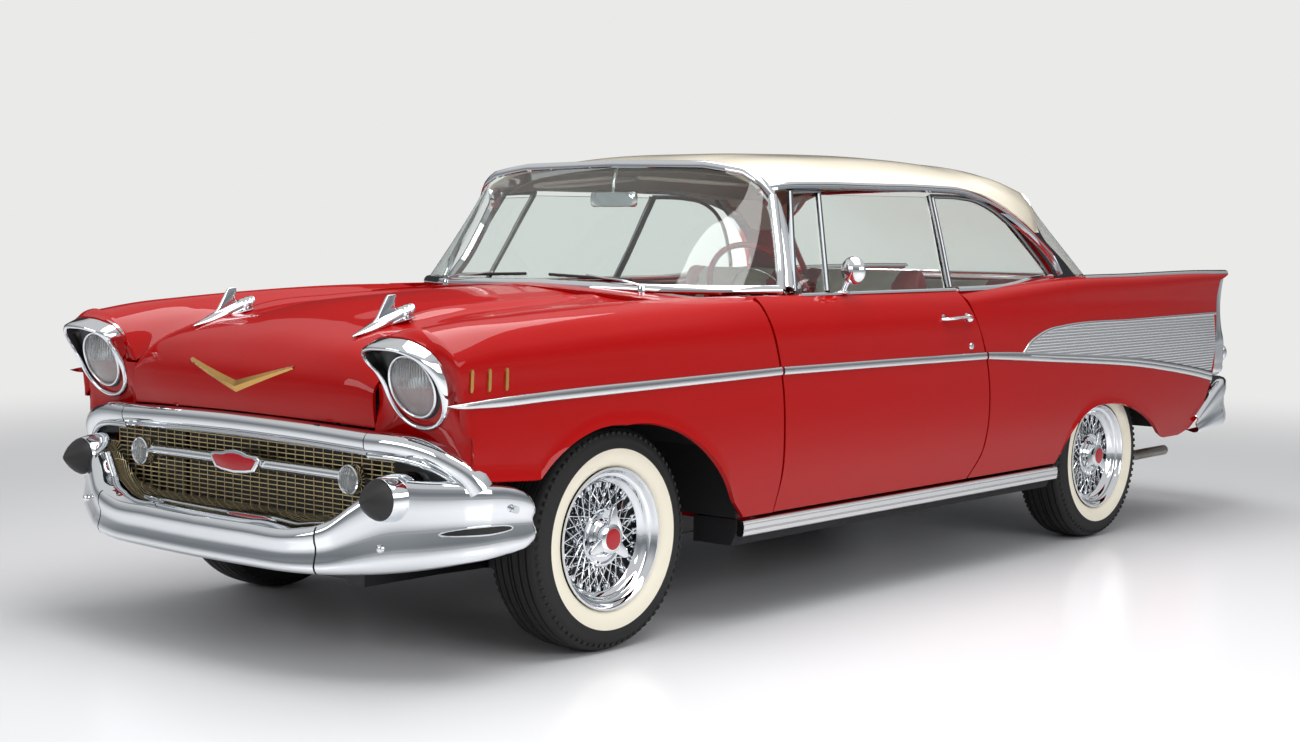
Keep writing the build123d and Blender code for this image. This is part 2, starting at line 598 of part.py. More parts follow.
def windshield_frame():
    header = bar([(0, -759, 1440), (300, -759, 1434), (500, -759, 1410), (590, -758, 1378),
                  (622, -735, 1352)], 26, 26)
    pillar = bar([(622, -735, 1352), (660, -722, 1300), (700, -745, 1240), (764, -802, 1110),
                  (800, -838, 1037)], 30, 26,
                 up=(0.9, 0.3, 0.4))
    foot = bar([(800, -838, 1037), (735, -982, 1037), (584, -1096, 1030)], 26, 20)
    half = header.fuse(pillar, foot)
    return half.fuse(mirrored(half))


def inner_fender_left():
    """Apron between the engine bay and the front wheel, with the wheelhouse top."""
    wall = across([(-2230, 300.3), (-2230, 850), (-1270, 905), (-1101, 905), (-1101, 320), (-1290, 420),
                   (-1300, 700), (-2060, 700),
                   (-2080, 300.3)], 420, 440)
    apron = across([(-2230, 300.3), (-2230, 700), (-2060, 700), (-2080, 300.3)], 400, 440)
    top = across([(-2090, 700), (-1960, 716), (-1420, 716), (-1240, 690), (-1160, 560), (-1150, 340),
                  (-1162, 340),
                  (-1172, 556), (-1250, 676), (-1424, 702), (-1956, 702), (-2086, 688)], 440, 880)
    pads = block(420, 440, -2215, -2185, 840, 884) + block(420, 440, -1340, -1310, 890, 994)
    return (wall + apron + top) + (pads - Pos(0, 0, -SEAT_GAP) * hood())


def radiator():
    return block(-400, 400, -2226, -2160, 301, 860)


def engine():
    low = block(-210, 210, -1880, -1130, 330, 560)
    heads = along([(-290, 560), (-320, 700), (-200, 760), (200, 760), (320, 700), (290, 560)], -1860, -1160)
    filter_can = Plane(origin=(0, -1560, 760)) * Cylinder(170, 90, align=(Align.CENTER, Align.CENTER,
        Align.MIN))
    sump = block(-140, 140, -1600, -1200, 240, 330)
    feet = block(-200, 200, FRONT_AXLE_Y - 50, FRONT_AXLE_Y + 50, 300, 330)
    gearbox = loft([Plane(origin=(0, -1130, 350), z_dir=(0, 1, 0)) * Circle(85),
                    Plane(origin=(0, GEARBOX_END, 340), z_dir=(0, 1, 0)) * Circle(60)])
    return (low + heads + filter_can + feet + sump) + gearbox


def driveshaft():
    return rod((0, GEARBOX_END, 340), (0, REAR_AXLE_Y - 150, 334), 38)


def rear_axle():
    tube = rod((-630, REAR_AXLE_Y, TYRE_R), (630, REAR_AXLE_Y, TYRE_R), 40)
    pot = Plane(origin=(0, REAR_AXLE_Y, TYRE_R)) * Sphere(AXLE_POT_R)
    snout = rod((0, REAR_AXLE_Y, TYRE_R), (0, REAR_AXLE_Y - 150, 336), 55)
    axle = tube + pot + snout
    for side in (1, -1):
        axle += rod((side * 620, REAR_AXLE_Y, TYRE_R), (side * (WHEEL_X + 36), REAR_AXLE_Y, TYRE_R), STUB_R)
        axle += rod((side * 600, REAR_AXLE_Y, TYRE_R), (side * 626, REAR_AXLE_Y, TYRE_R), 130)
    return axle


def leaf_springs():
    leaf = across([(620, 300), (640, 262), (REAR_AXLE_Y - 160, 262), (REAR_AXLE_Y, 250),
                   (REAR_AXLE_Y + 160, 262),
                   (1820, 300), (1840, 330), (1850, 330), (1832, 290), (REAR_AXLE_Y + 200, 250),
                   (REAR_AXLE_Y, 236), (REAR_AXLE_Y - 200, 250), (630, 240), (608, 300)], 415, 475)
    pad = block(415, 475, REAR_AXLE_Y - 50, REAR_AXLE_Y + 50, 240, 300)
    hanger = block(400, 475, 600, 640, 280, 312)
    shackle = block(400, 475, 1815, 1855, 330, 396)
    return leaf + pad + hanger + shackle


def exhaust():
    size = EXHAUST_SIZE
    route = [(200, -1300, 440), (236, -1270, 420), (236, -1160, EXHAUST_Z), (236, 700, EXHAUST_Z),
             (300, REAR_AXLE_Y, EXHAUST_Z), (520, 1520, EXHAUST_Z), (600, 1720, 240), (600, 2290, 250)]
    muffler = along([(150, 150), (170, 140), (300, 140), (320, 150), (320, 205), (300, 215), (170, 215),
                     (150, 205)],
                    -420, 180)
    hangers = block(226, 246, -110, -60, 212, 225) + block(226, 246, 650, 690, 205, 228)
    return bar(route, size, size, up=(0, 0.01, 1)) + muffler + hangers + block(594, 606, 2180, 2200, 250, 402)


def fuel_tank():
    front = REAR_AXLE_Y + AXLE_POT_R + TANK_CLEARANCE
    return block(-300, 290, front, 2130, 236, TRUNK_FLOOR_Z - SEAT_GAP)


def quarter_inner_left():
    """Rear wheelhouse between the cabin, the trunk and the rear wheel."""
    wall = across([(780, 470), (780, 940), (1690, 940), (TRUNK_Y + 4, 996), (1900, 970), (2100, 914),
                   (2160, 880),
                   (2160, 470)], 600, 618) - Pos(0, 0, -SEAT_GAP) * trunk_lid()
    wall += across([(780, 320), (780, 470), (960, 470), (900, 320)], 600, 618)
    top = across([(800, 340), (900, 640), (1040, 740), (1460, 740), (1620, 600), (1650, 420), (1668, 420),
                  (1640, 612), (1470, 756), (1032, 756), (884, 648), (782, 340)], 618, 880)
    return wall + top


def rear_deck():
    """Panel round the foot of the rear window, and the shelf behind the rear seat."""
    panel = across([(985, DECK_Z - 16), (985, DECK_Z), (1600, DECK_Z), (1714, 1010), (1714, 994),
                    (1600, DECK_Z - 16)],
                   -689, 689)
    brace = block(-600, 600, 1040, 1056, 486, DECK_Z - 16)
    return panel + brace


def tail_panel():
    return across([(2262, 402), (TAIL_Y, 402), (TAIL_Y, 640), (2262, 640)], -640, 640)


def trunk_lid():
    rows = [
        (TRUNK_Y, [(682, 1008), (400, 1010), (0, 1012)]),
        (1900, [(682, 982), (400, 988), (0, 990)]),
        (2100, [(682, 926), (400, 938), (0, 942)]),
        (2200, [(682, 870), (400, 886), (0, 892)]),
        (2262, [(682, 800), (400, 820), (0, 828)]),
    ]
    faces = []
    for y, line in rows:
        low = inset(line, SKIN)
        faces.append(flat([(x, y, z) for x, z in [(-x, z) for x, z in line] + line[::-1][1:]
                           + low + [(-x, z) for x, z in low[::-1][1:]]]))
    lid = loft(faces, ruled=True)
    back = across([(2246, 790), (2262, 828), (2288, 760), (2290, 650), (2274, 650), (2272, 756)], -640, 640)
    return lid + back


def rear_bumper():
    rows = [(0, 2540, 400, 560), (420, 2524, 400, 560), (640, 2486, 396, 575), (780, 2430, 392, 590),
            (868, 2350, 388, 590), (900, 2200, 380, 560), (906, 1980, 372, 440)]
    faces = []
    for i, (x, y, low, high) in enumerate(rows):
        before, after = rows[max(i - 1, 0)], rows[min(i + 1, len(rows) - 1)]
        run = Vector(after[0] - before[0], after[1] - before[1], 0).normalized()
        out = Vector(0, 0, 1).cross(run).normalized()
        here = Vector(x, y, 0)
        mid = (low + high) / 2
        line = [(-60, low + 6), (-18, low), (0, low + 18), (-10, mid), (0, high - 18), (-16, high),
                (-56, high - 4),
                (-54, high - 16), (-22, high - 20), (-28, mid), (-22, low + 20), (-58, low + 20)]
        faces.append(flat([tuple(here + out * d + Vector(0, 0, z)) for d, z in line]))
    half = loft(faces, ruled=True)
    return half + mirrored(half)


def tail_lamps():
    pod = across([(2140, 700), (2170, 860), (2222, 958), (2262, 940), (2288, 900), (2296, 800), (2300, 660),
                  (2292, 600), (2120, 600)], 796, 864)
    return [pod, mirrored(pod)]


def trims_left():
    """Spear on the fender, and the two mouldings with the panel between them on the quarter."""
    spear = layer(FRONT_ROWS, 0.2, 9) & across(
        [(-2366, 764), (-2000, 786), (-986, 801), (-986, 774), (-2000, 756)], 820, 960)
    panel = layer(QUARTER_ROWS, 0.2, 5) & across(
        [(400, 756), (511, 787), (600, 839), (689, 861), (800, 870), (1400, 878), (2196, 883),
         (2172, 756), (2150, 600),
         (2000, 611), (1733, 648), (1400, 686), (1000, 717), (700, 736)], 820, 960)
    return [spear, panel]


def door_trim_left():
    spear = layer(DOOR_ROWS, 0.2, 9) & across([(-962, 774), (235, 768), (232, 795), (-966, 801)], 700, 960)
    handle = bar([(897, 0, 905), (922, 12, 908), (922, 120, 908), (897, 132, 905)], 12, 16) - door_left()
    return [spear, handle]


def mirror_left():
    base = block(836, 868, -590, -556, DOOR_BELT_Z, DOOR_BELT_Z + 8)
    stalk = rod((854, -572, DOOR_BELT_Z + 8), (874, -562, 1080), 6)
    head = Plane(origin=(876, -574, 1091), z_dir=(0, 1, 0)) * Cylinder(45, 26)
    return base + stalk + head


def door_frame_left():
    """Frame of the vent window and the bar behind it."""
    low_x, low_z, top_x, top_z = GLASS_PLANE
    lean = (low_x - top_x) / (top_z - low_z)

    def at(y, z):
        return (low_x + GLASS_T / 2 - lean * (z - low_z), y, z)

    front = bar([at(-796, 1024), at(-655, 1344)], 16, 12, up=(1, 0, 0.4))
    top = bar([at(-655, 1344), at(-476, 1350)], 16, 12, up=(1, 0, 0.4))
    back = bar([at(-595, 1024), at(-476, 1350)], 12, 12, up=(1, 0, 0.4))
    return front + top + back


def dashboard():
    shape = across([(-1079, 700), (-1079, 960), (-1000, 978), (-880, 950), (-840, 900), (-850, 820),
                    (-900, 760),
                    (-960, 720)], -684, 684)
    return shape


def steering_column():
    axis = Vector(0, cos(radians(COLUMN_TILT)), sin(radians(COLUMN_TILT)))
    hub = Vector(*WHEEL_HUB)
    end = hub - axis * (30 + SEAT_GAP)
    start = hub - axis * 772
    return rod(tuple(start), tuple(end), COLUMN_R)


def column_room():
    """Hole in the dashboard for the steering column."""
    axis = Vector(0, cos(radians(COLUMN_TILT)), sin(radians(COLUMN_TILT)))
    hub = Vector(*WHEEL_HUB)
    return rod(tuple(hub - axis * 900), tuple(hub), COLUMN_R + SEAT_GAP)


def steering_wheel():
    rim = Torus(STEERING_R, 12)
    hub = Pos(0, 0, -30) * Cylinder(34, 50, align=(Align.CENTER, Align.CENTER, Align.MIN))
    spokes = Box(2 * STEERING_R, 34, 10)
    wheel = rim + hub + spokes
    tilt = radians(COLUMN_TILT)
    return Plane(origin=WHEEL_HUB, x_dir=(1, 0, 0), z_dir=(0, cos(tilt), sin(tilt))) * wheel


def bench(y_front, y_back, width, cushion_top, back_top, lean, back_low):
    """Seat cushion and back as two soft solids; back_low is the height of their seat at the rear."""
    cushion = across([(y_front, 490), (y_front + 20, cushion_top), (y_back - 20, cushion_top - 30),
                      (y_back, back_low),
                      (y_back - 30, back_low), (y_back - 110, CUSHION_LOW + SEAT_GAP),
                          (y_front + 30, CUSHION_LOW + SEAT_GAP)],
                     -width / 2, width / 2)
    back = across([(y_back + SEAT_GAP, back_low), (y_back - 20 + SEAT_GAP, cushion_top - 30),
                   (y_back + lean - 20, back_top - 30), (y_back + lean + 10, back_top),
                   (y_back + lean + 60, back_top - 20), (y_back + 110, back_low)], -width / 2, width / 2)
    return cushion, back


def seat_base():
    """Two runners that carry the front seat."""
    runner = block(440, 480, -230, 320, FLOOR_Z + FLOOR_T, CUSHION_LOW)
    return runner + mirrored(runner) + block(-30, 30, -200, 300, TUNNEL_TOP, CUSHION_LOW)


def interior_mirror():
    stalk = rod((0, -728, 1436), (0, -748, 1352), 5) - roof()
    head = block(-110, 110, -758, -742, 1300, 1352)
    return stalk + head


def placed_wheel(shape, y, side):
    turned = shape if side > 0 else mirrored(shape)
    return Pos(side * WHEEL_X, y, TYRE_R) * turned


def build():
    """Every node by name, with pieces of one body cut clear of the piece that carries them."""
    nodes = {}
    rails = frame_rails()
    power = engine()
    fender, quarter, sill = fender_left(), quarter_left(), sill_left()
    skins = [fender, mirrored(fender), quarter, mirrored(quarter)]
    seals = door_seals_left()
    floor = (floor_pan() + sill + mirrored(sill) + seals + mirrored(seals)) - rails
    wall = cowl() - floor - skins[0] - skins[1] - power
    top = roof() - skins[2] - skins[3]
    glass = windshield()
    glass = glass - cowl_body() - top - both(door_top_room())
    nodes["frame_rails"] = rails
    nodes["floor_pan"] = floor
    nodes["cowl"] = wall
    nodes["roof"] = top
    nodes["fender_left"], nodes["fender_right"] = skins[0], skins[1]
    nodes["quarter_left"], nodes["quarter_right"] = skins[2], skins[3]
    apron = inner_fender_left() - fender - wall - floor - rails
    house = quarter_inner_left() - quarter - floor
    nodes["wheelhouses"] = both(apron) + both(house)
    deck = rear_deck() - floor
    nodes["rear_deck"] = [deck, tail_panel()]
    nodes["hood"] = hood()
    nodes["hood_ornaments"] = both(hood_rockets() - nodes["hood"]) + [hood_chevron() - nodes["hood"]]
    nodes["trunk_lid"] = trunk_lid()
    nodes["rear_window"] = rear_window() - top - deck
    nodes["windshield"] = glass
    nodes["windshield_frame"] = [windshield_frame() - wall - top - glass, interior_mirror()]
    nodes["quarter_glass"] = both(quarter_glass_left() - top - quarter)
    nodes["front_bumper"] = front_bumper() - rails
    nodes["front_bumper"] -= both(bullet_room())
    nodes["bumper_bullets"] = [Pos(0, -SEAT_GAP, 0) * b for b in bumper_bullets()]
    nodes["grille_mesh"] = grille_mesh()
    nodes["grille_bars"] = [g - nodes["front_bumper"] - rails for g in grille_bars()]
    nodes["headlight_bezels"] = [b - fender - mirrored(fender) for b in headlight_bezels()]
    nodes["front_lamps"] = headlight_lenses() + parking_lamps()
    nodes["rear_bumper"] = rear_bumper() - skins[2] - skins[3] - rails
    nodes["tail_lamps"] = [t - skins[2] - skins[3] for t in tail_lamps()]
    nodes["radiator"] = radiator() - rails - apron - mirrored(apron)
    nodes["engine"] = power
    nodes["front_suspension"] = front_suspension() - rails
    nodes["rear_axle"] = [rear_axle(), driveshaft() - rear_axle() - power]
    nodes["leaf_springs"] = both(leaf_springs() - nodes["rear_axle"][0] - rails)
    nodes["exhaust"] = exhaust() - power - rails
    nodes["fuel_tank"] = fuel_tank() - rails
    column = steering_column() - wall
    nodes["dashboard"] = dashboard() - wall - column_room()
    nodes["steering_column"] = column
    nodes["steering_wheel"] = steering_wheel()
    nodes["front_seat"] = list(bench(-270, 240, 1180, 620, 1040, 80, CUSHION_LOW + SEAT_GAP))
    nodes["rear_seat"] = list(bench(500, 930, 1140, 600, 1005, 30, 486 + SEAT_GAP))
    trims = trims_left() + [rocker_trim_left()]
    nodes["body_trims"] = trims + [mirrored(s) for s in trims]
    vent_frame = door_frame_left()
    door = door_left()
    panes = [pane - vent_frame - door for pane in door_glass_left()]
    chrome = [vent_frame - door] + door_trim_left()
    for name, pieces in (("door", [door]), ("door_glass", panes), ("door_trim", chrome),
        ("knuckle", [knuckle_left()])):
        nodes[name + "_left"] = pieces
        nodes[name + "_right"] = [mirrored(piece) for piece in pieces]
    nodes["door_trim_left"] = chrome + [mirror_left()]
    rubber, wheel = tyre(), wire_wheel()
    for corner, y, side in (("front_left", FRONT_AXLE_Y, 1), ("front_right", FRONT_AXLE_Y, -1),
                            ("rear_left", REAR_AXLE_Y, 1), ("rear_right", REAR_AXLE_Y, -1)):
        nodes["tyre_" + corner] = placed_wheel(rubber, y, side)
        nodes["wheel_" + corner] = placed_wheel(wheel, y, side)
    return nodes


for node_name, shape in build().items():
    solids = []
    for item in (shape if isinstance(shape, list) else [shape]):
        solids += item.solids()
    export_step(Compound(children=solids), os.path.join("parts", node_name + ".step"))
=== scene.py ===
from math import atan2, cos, pi, radians, sin

import bmesh
import bpy
import numpy as np
from mathutils import Matrix, Vector
from mathutils.bvhtree import BVHTree


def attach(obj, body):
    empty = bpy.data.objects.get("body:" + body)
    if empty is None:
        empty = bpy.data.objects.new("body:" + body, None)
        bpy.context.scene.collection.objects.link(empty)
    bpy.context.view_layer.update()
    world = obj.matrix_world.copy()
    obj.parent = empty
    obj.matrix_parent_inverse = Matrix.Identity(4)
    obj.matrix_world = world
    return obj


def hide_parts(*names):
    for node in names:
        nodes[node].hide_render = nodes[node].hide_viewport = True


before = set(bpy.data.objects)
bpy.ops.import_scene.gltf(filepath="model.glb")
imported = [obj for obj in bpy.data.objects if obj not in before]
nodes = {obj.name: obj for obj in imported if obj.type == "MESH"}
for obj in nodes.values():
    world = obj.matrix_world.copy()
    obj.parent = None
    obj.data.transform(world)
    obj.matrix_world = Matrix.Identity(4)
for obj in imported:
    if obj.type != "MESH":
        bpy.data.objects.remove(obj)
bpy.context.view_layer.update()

mm = 0.001                                # every table below is in millimetres
print("stage: frame loaded")


# Small tools

def hexColour(text):
    # a screen colour as linear light
    shares = [int(text[i:i + 2], 16) / 255 for i in (1, 3, 5)]
    linear = [s / 12.92 if s <= 0.04045 else ((s + 0.055) / 1.055) ** 2.4 for s in shares]
    return (*linear, 1.0)


def addNode(tree, kind, settings=None, links=None):
    node = tree.nodes.new(kind)
    for name, value in (settings or {}).items():
        if isinstance(name, int) or name in node.inputs:
            node.inputs[name].default_value = value
        else:
            setattr(node, name, value)
    for socket, source in (links or {}).items():
        tree.links.new(source, node.inputs[socket])
    return node


def newMaterial(name, values=None):
    material = bpy.data.materials.new(name)
    material.use_nodes = True
    tree = material.node_tree
    shader = tree.nodes["Principled BSDF"]
    for socket, value in (values or {}).items():
        shader.inputs[socket].default_value = value
    return material, tree, shader


def pattern(tree, kind, settings):
    # a texture read by the object's own coordinates
    place = addNode(tree, "ShaderNodeTexCoord")
    return addNode(tree, kind, settings, {"Vector": place.outputs["Object"]})


def ribs(tree, direction, pitch):
    # even bands across one direction, pitch in mm
    scale = 2 * pi / 20 / (pitch * mm)
    return pattern(tree, "ShaderNodeTexWave", {"wave_type": "BANDS", "bands_direction": direction,
                                               "Scale": scale})


def linkBump(tree, shader, height, distance):
    bump = addNode(tree, "ShaderNodeBump", {"Strength": 1.0, "Distance": distance}, {"Height": height})
    tree.links.new(bump.outputs["Normal"], shader.inputs["Normal"])


def makeObject(name, verts, faces, material, smooth=True, sharp=35):
    mesh = bpy.data.meshes.new(name)
    mesh.from_pydata([tuple(v) for v in verts], [], [tuple(f) for f in faces])
    mesh.update()
    obj = bpy.data.objects.new(name, mesh)
    bpy.context.scene.collection.objects.link(obj)
    for item in (material if isinstance(material, (list, tuple)) else [material]):
        mesh.materials.append(item)
    if smooth:
        mesh.polygons.foreach_set("use_smooth", [True] * len(mesh.polygons))
        mesh.set_sharp_from_angle(angle=radians(sharp))
    return obj


def tidyMesh(obj, sharp=35, merge=0.00002):
    work = bmesh.new()
    work.from_mesh(obj.data)
    bmesh.ops.remove_doubles(work, verts=work.verts, dist=merge)
    bmesh.ops.dissolve_degenerate(work, edges=work.edges, dist=merge)
    bmesh.ops.recalc_face_normals(work, faces=work.faces)
    work.to_mesh(obj.data)
    work.free()
    obj.data.polygons.foreach_set("use_smooth", [True] * len(obj.data.polygons))
    obj.data.set_sharp_from_angle(angle=radians(sharp))
    return obj


def bakeModifiers(obj):
    graph = bpy.context.evaluated_depsgraph_get()
    graph.update()
    mesh = bpy.data.meshes.new_from_object(obj.evaluated_get(graph))
    obj.modifiers.clear()
    obj.data = mesh
    return obj


def roundEdges(obj, width, segments=2, angle=40):
    bevel = obj.modifiers.new("rounded edges", "BEVEL")
    bevel.width, bevel.segments, bevel.limit_method = width * mm, segments, "ANGLE"
    bevel.angle_limit, bevel.harden_normals = radians(angle), False
    return bakeModifiers(obj)


def settle(obj, body, node=None):
    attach(obj, body)
    if node:
        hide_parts(node)


def mirroredCopy(obj, name):
    mesh = obj.data.copy()
    mesh.transform(Matrix.Scale(-1, 4, (1, 0, 0)))
    mesh.flip_normals()
    twin = bpy.data.objects.new(name, mesh)
    bpy.context.scene.collection.objects.link(twin)
    return twin


def bothSides(piece, body, node=None):
    # settle a left piece and its mirror image
    twin = mirroredCopy(piece, piece.name.replace("_left", "_right"))
    settle(twin, body.replace("left", "right"), node and node.replace("left", "right"))
    settle(piece, body, node)


def joinObjects(objs, name):
    work = bmesh.new()
    materials = []
    for obj in objs:
        start = len(work.faces)
        work.from_mesh(obj.data)
        work.faces.ensure_lookup_table()
        index = []
        for material in obj.data.materials:
            if material not in materials:
                materials.append(material)
            index.append(materials.index(material))
        for face in work.faces[start:]:
            face.material_index = index[face.material_index] if index else 0
    mesh = bpy.data.meshes.new(name)
    work.to_mesh(mesh)
    work.free()
    for material in materials:
        mesh.materials.append(material)
    for obj in objs:
        bpy.data.objects.remove(obj)
    joined = bpy.data.objects.new(name, mesh)
    bpy.context.scene.collection.objects.link(joined)
    return joined


# Smooth surfaces through nets of points

def tangents(knots, values):
    steps = np.diff(knots)
    slopes = np.diff(values, axis=0) / steps.reshape(-1, *([1] * (values.ndim - 1)))
    result = np.empty_like(values)
    result[0], result[-1] = slopes[0], slopes[-1]
    shape = (-1, *([1] * (values.ndim - 1)))
    before, after = steps[:-1].reshape(shape), steps[1:].reshape(shape)
    result[1:-1] = (slopes[:-1] * after + slopes[1:] * before) / (before + after)
    return result


def alongKnots(knots, values, where):
    # cubic through values at knots, read at the places in where
    knots, values = np.asarray(knots, float), np.asarray(values, float)
    where = np.clip(np.asarray(where, float), knots[0], knots[-1])
    slopes = tangents(knots, values)
    i = np.clip(np.searchsorted(knots, where, side="right") - 1, 0, len(knots) - 2)
    h = knots[i + 1] - knots[i]
    s = (where - knots[i]) / h
    shape = (-1, *([1] * (values.ndim - 1)))
    s, h = s.reshape(shape), h.reshape(shape)
    s2, s3 = s * s, s * s * s
    return (values[i] * (2 * s3 - 3 * s2 + 1) + slopes[i] * h * (s3 - 2 * s2 + s)
            + values[i + 1] * (3 * s2 - 2 * s3) + slopes[i + 1] * h * (s3 - s2))


def chordKnots(net):
    # shared knots for the second direction of a net, from its mean chord lengths
    steps = np.linalg.norm(np.diff(net, axis=1), axis=2).mean(axis=0)
    return np.concatenate([[0], np.cumsum(np.maximum(steps, 1e-6))])


def readNet(net, rowKnots, columnKnots, u, v):
    # net (rows, columns, 3) read at paired places u, v of any one shape
    u, v = np.broadcast_arrays(np.asarray(u, float), np.asarray(v, float))
    flatU, flatV = u.ravel(), v.ravel()
    lines = alongKnots(rowKnots, net, flatU)
    slopes = np.moveaxis(tangents(columnKnots, np.moveaxis(lines, 1, 0)), 0, 1)
    where = np.clip(flatV, columnKnots[0], columnKnots[-1])
    j = np.clip(np.searchsorted(columnKnots, where, side="right") - 1, 0, len(columnKnots) - 2)
    n = np.arange(len(flatU))
    h = (columnKnots[j + 1] - columnKnots[j])
    s = ((where - columnKnots[j]) / h)[:, None]
    h = h[:, None]
    s2, s3 = s * s, s * s * s
    points = (lines[n, j] * (2 * s3 - 3 * s2 + 1) + slopes[n, j] * h * (s3 - 2 * s2 + s)
              + lines[n, j + 1] * (3 * s2 - 2 * s3) + slopes[n, j + 1] * h * (s3 - s2))
    return points.reshape(*u.shape, 3)


def gridNormals(grid):
    du = np.gradient(grid, axis=0)
    dv = np.gradient(grid, axis=1)
    normal = np.cross(du, dv)
    return normal / np.maximum(np.linalg.norm(normal, axis=2, keepdims=True), 1e-9)


def gridFaces(rows, columns, start=0, flip=False):
    faces = []
    for i in range(rows - 1):
        for j in range(columns - 1):
            a = start + i * columns + j
            quad = (a, a + 1, a + columns + 1, a + columns)
            faces.append(quad[::-1] if flip else quad)
    return faces


def shellPiece(name, outer, inner, material):
    # a closed shell between two grids of the same size
    rows, columns = outer.shape[:2]
    verts = np.concatenate([outer.reshape(-1, 3), inner.reshape(-1, 3)]) * mm
    start = rows * columns
    faces = gridFaces(rows, columns) + gridFaces(rows, columns, start, True)
    rim = [(0, j) for j in range(columns)] + [(i, columns - 1) for i in range(1, rows)]
    rim += [(rows - 1, j) for j in range(columns - 2, -1, -1)] + [(i, 0) for i in range(rows - 2, 0, -1)]
    index = [i * columns + j for i, j in rim]
    for k, a in enumerate(index):
        b = index[(k + 1) % len(index)]
        faces.append((b, a, a + start, b + start))
    obj = makeObject(name, verts, faces, material)
    return tidyMesh(obj)


def skinPiece(name, outer, thickness, material, flip=False):
    normal = gridNormals(outer) * (-1 if flip else 1)
    return shellPiece(name, outer, outer - normal * thickness, material)


def ringPiece(name, rings, material, caps=True, sharp=35):
    # rings (stations, points, 3), each ring closed
    rings = np.asarray(rings, float)
    count, size = rings.shape[:2]
    faces = []
    for i in range(count - 1):
        for j in range(size):
            a, b = i * size + j, i * size + (j + 1) % size
            faces.append((a, b, b + size, a + size))
    if caps:
        faces += [tuple(range(size))[::-1], tuple(range((count - 1) * size, count * size))]
    return tidyMesh(makeObject(name, rings.reshape(-1, 3) * mm, faces, material), sharp)


def roundSection(width, height, count):
    # (sideways, up) points of an oval
    return [(width * cos(a), height * sin(a)) for a in np.linspace(0, 2 * pi, count + 1)[:-1]]


def smoothRings(rings, count):
    rings = np.asarray(rings, float)
    gaps = np.linalg.norm(np.diff(rings.mean(axis=1), axis=0), axis=1)
    knots = np.concatenate([[0], np.cumsum(gaps)])
    return alongKnots(knots, rings, np.linspace(0, knots[-1], count))


def smoothPath(points, count):
    points = np.asarray(points, float)
    knots = np.concatenate([[0], np.cumsum(np.linalg.norm(np.diff(points, axis=0), axis=1))])
    return alongKnots(knots, points, np.linspace(0, knots[-1], count))


def sweepRings(path, profile, up):
    # profile points (sideways, up) carried along a path; up is one vector or one for each point
    path = np.asarray(path, float)
    run = np.gradient(path, axis=0)
    run /= np.linalg.norm(run, axis=1, keepdims=True)
    up = np.broadcast_to(np.asarray(up, float), path.shape)
    side = np.cross(run, up)
    side /= np.linalg.norm(side, axis=1, keepdims=True)
    rise = np.cross(side, run)
    profile = np.asarray(profile, float)
    return path[:, None] + side[:, None] * profile[None, :, :1] + rise[:, None] * profile[None, :, 1:2]


def sweptPiece(name, points, count, section, up, material, sharp=35):
    # a section carried along a smooth line through points
    return ringPiece(name, sweepRings(smoothPath(points, count), section, up), material, sharp=sharp)


def turned(name, profile, material, centre, axis="X", steps=96, sharp=35):
    # a body of revolution from (along, radius) points about an axis through centre
    rings = []
    for along, radius in profile:
        ring = []
        for k in range(steps):
            a = 2 * pi * k / steps
            c, s = radius * cos(a), radius * sin(a)
            ring.append({"X": (along, c, s), "Y": (s, along, c), "Z": (c, s, along)}[axis])
        rings.append(ring)
    rings = np.asarray(rings) + np.asarray(centre, float)
    return ringPiece(name, rings, material, caps=True, sharp=sharp)


def lineAt(points, where):
    # height of a line of (y, z) points, straight between them
    points = np.asarray(points, float)
    return np.interp(where, points[:, 0], points[:, 1])


def arcPoints(start, middle, end, count=24):
    # points on the circle through three (y, z) points
    (ax, ay), (bx, by), (cx, cy) = start, middle, end
    d = 2 * (ax * (by - cy) + bx * (cy - ay) + cx * (ay - by))
    ux = ((ax * ax + ay * ay) * (by - cy) + (bx * bx + by * by) * (cy - ay)
          + (cx * cx + cy * cy) * (ay - by)) / d
    uy = ((ax * ax + ay * ay) * (cx - bx) + (bx * bx + by * by) * (ax - cx)
          + (cx * cx + cy * cy) * (bx - ax)) / d
    radius = np.hypot(ax - ux, ay - uy)
    first, last = atan2(ay - uy, ax - ux), atan2(cy - uy, cx - ux)
    via = (atan2(by - uy, bx - ux) - first) % (2 * pi)
    turn = (last - first) % (2 * pi)
    if via > turn:
        turn -= 2 * pi
    return [(ux + radius * cos(first + turn * k / count), uy + radius * sin(first + turn * k / count))
            for k in range(count + 1)]


def bodyNet(rows):
    # a table of (y, section line) as a net with its knots
    net = np.array([[(x, y, z) for x, z in line] for y, line in rows], float)
    return net, np.array([y for y, _ in rows], float), chordKnots(net)


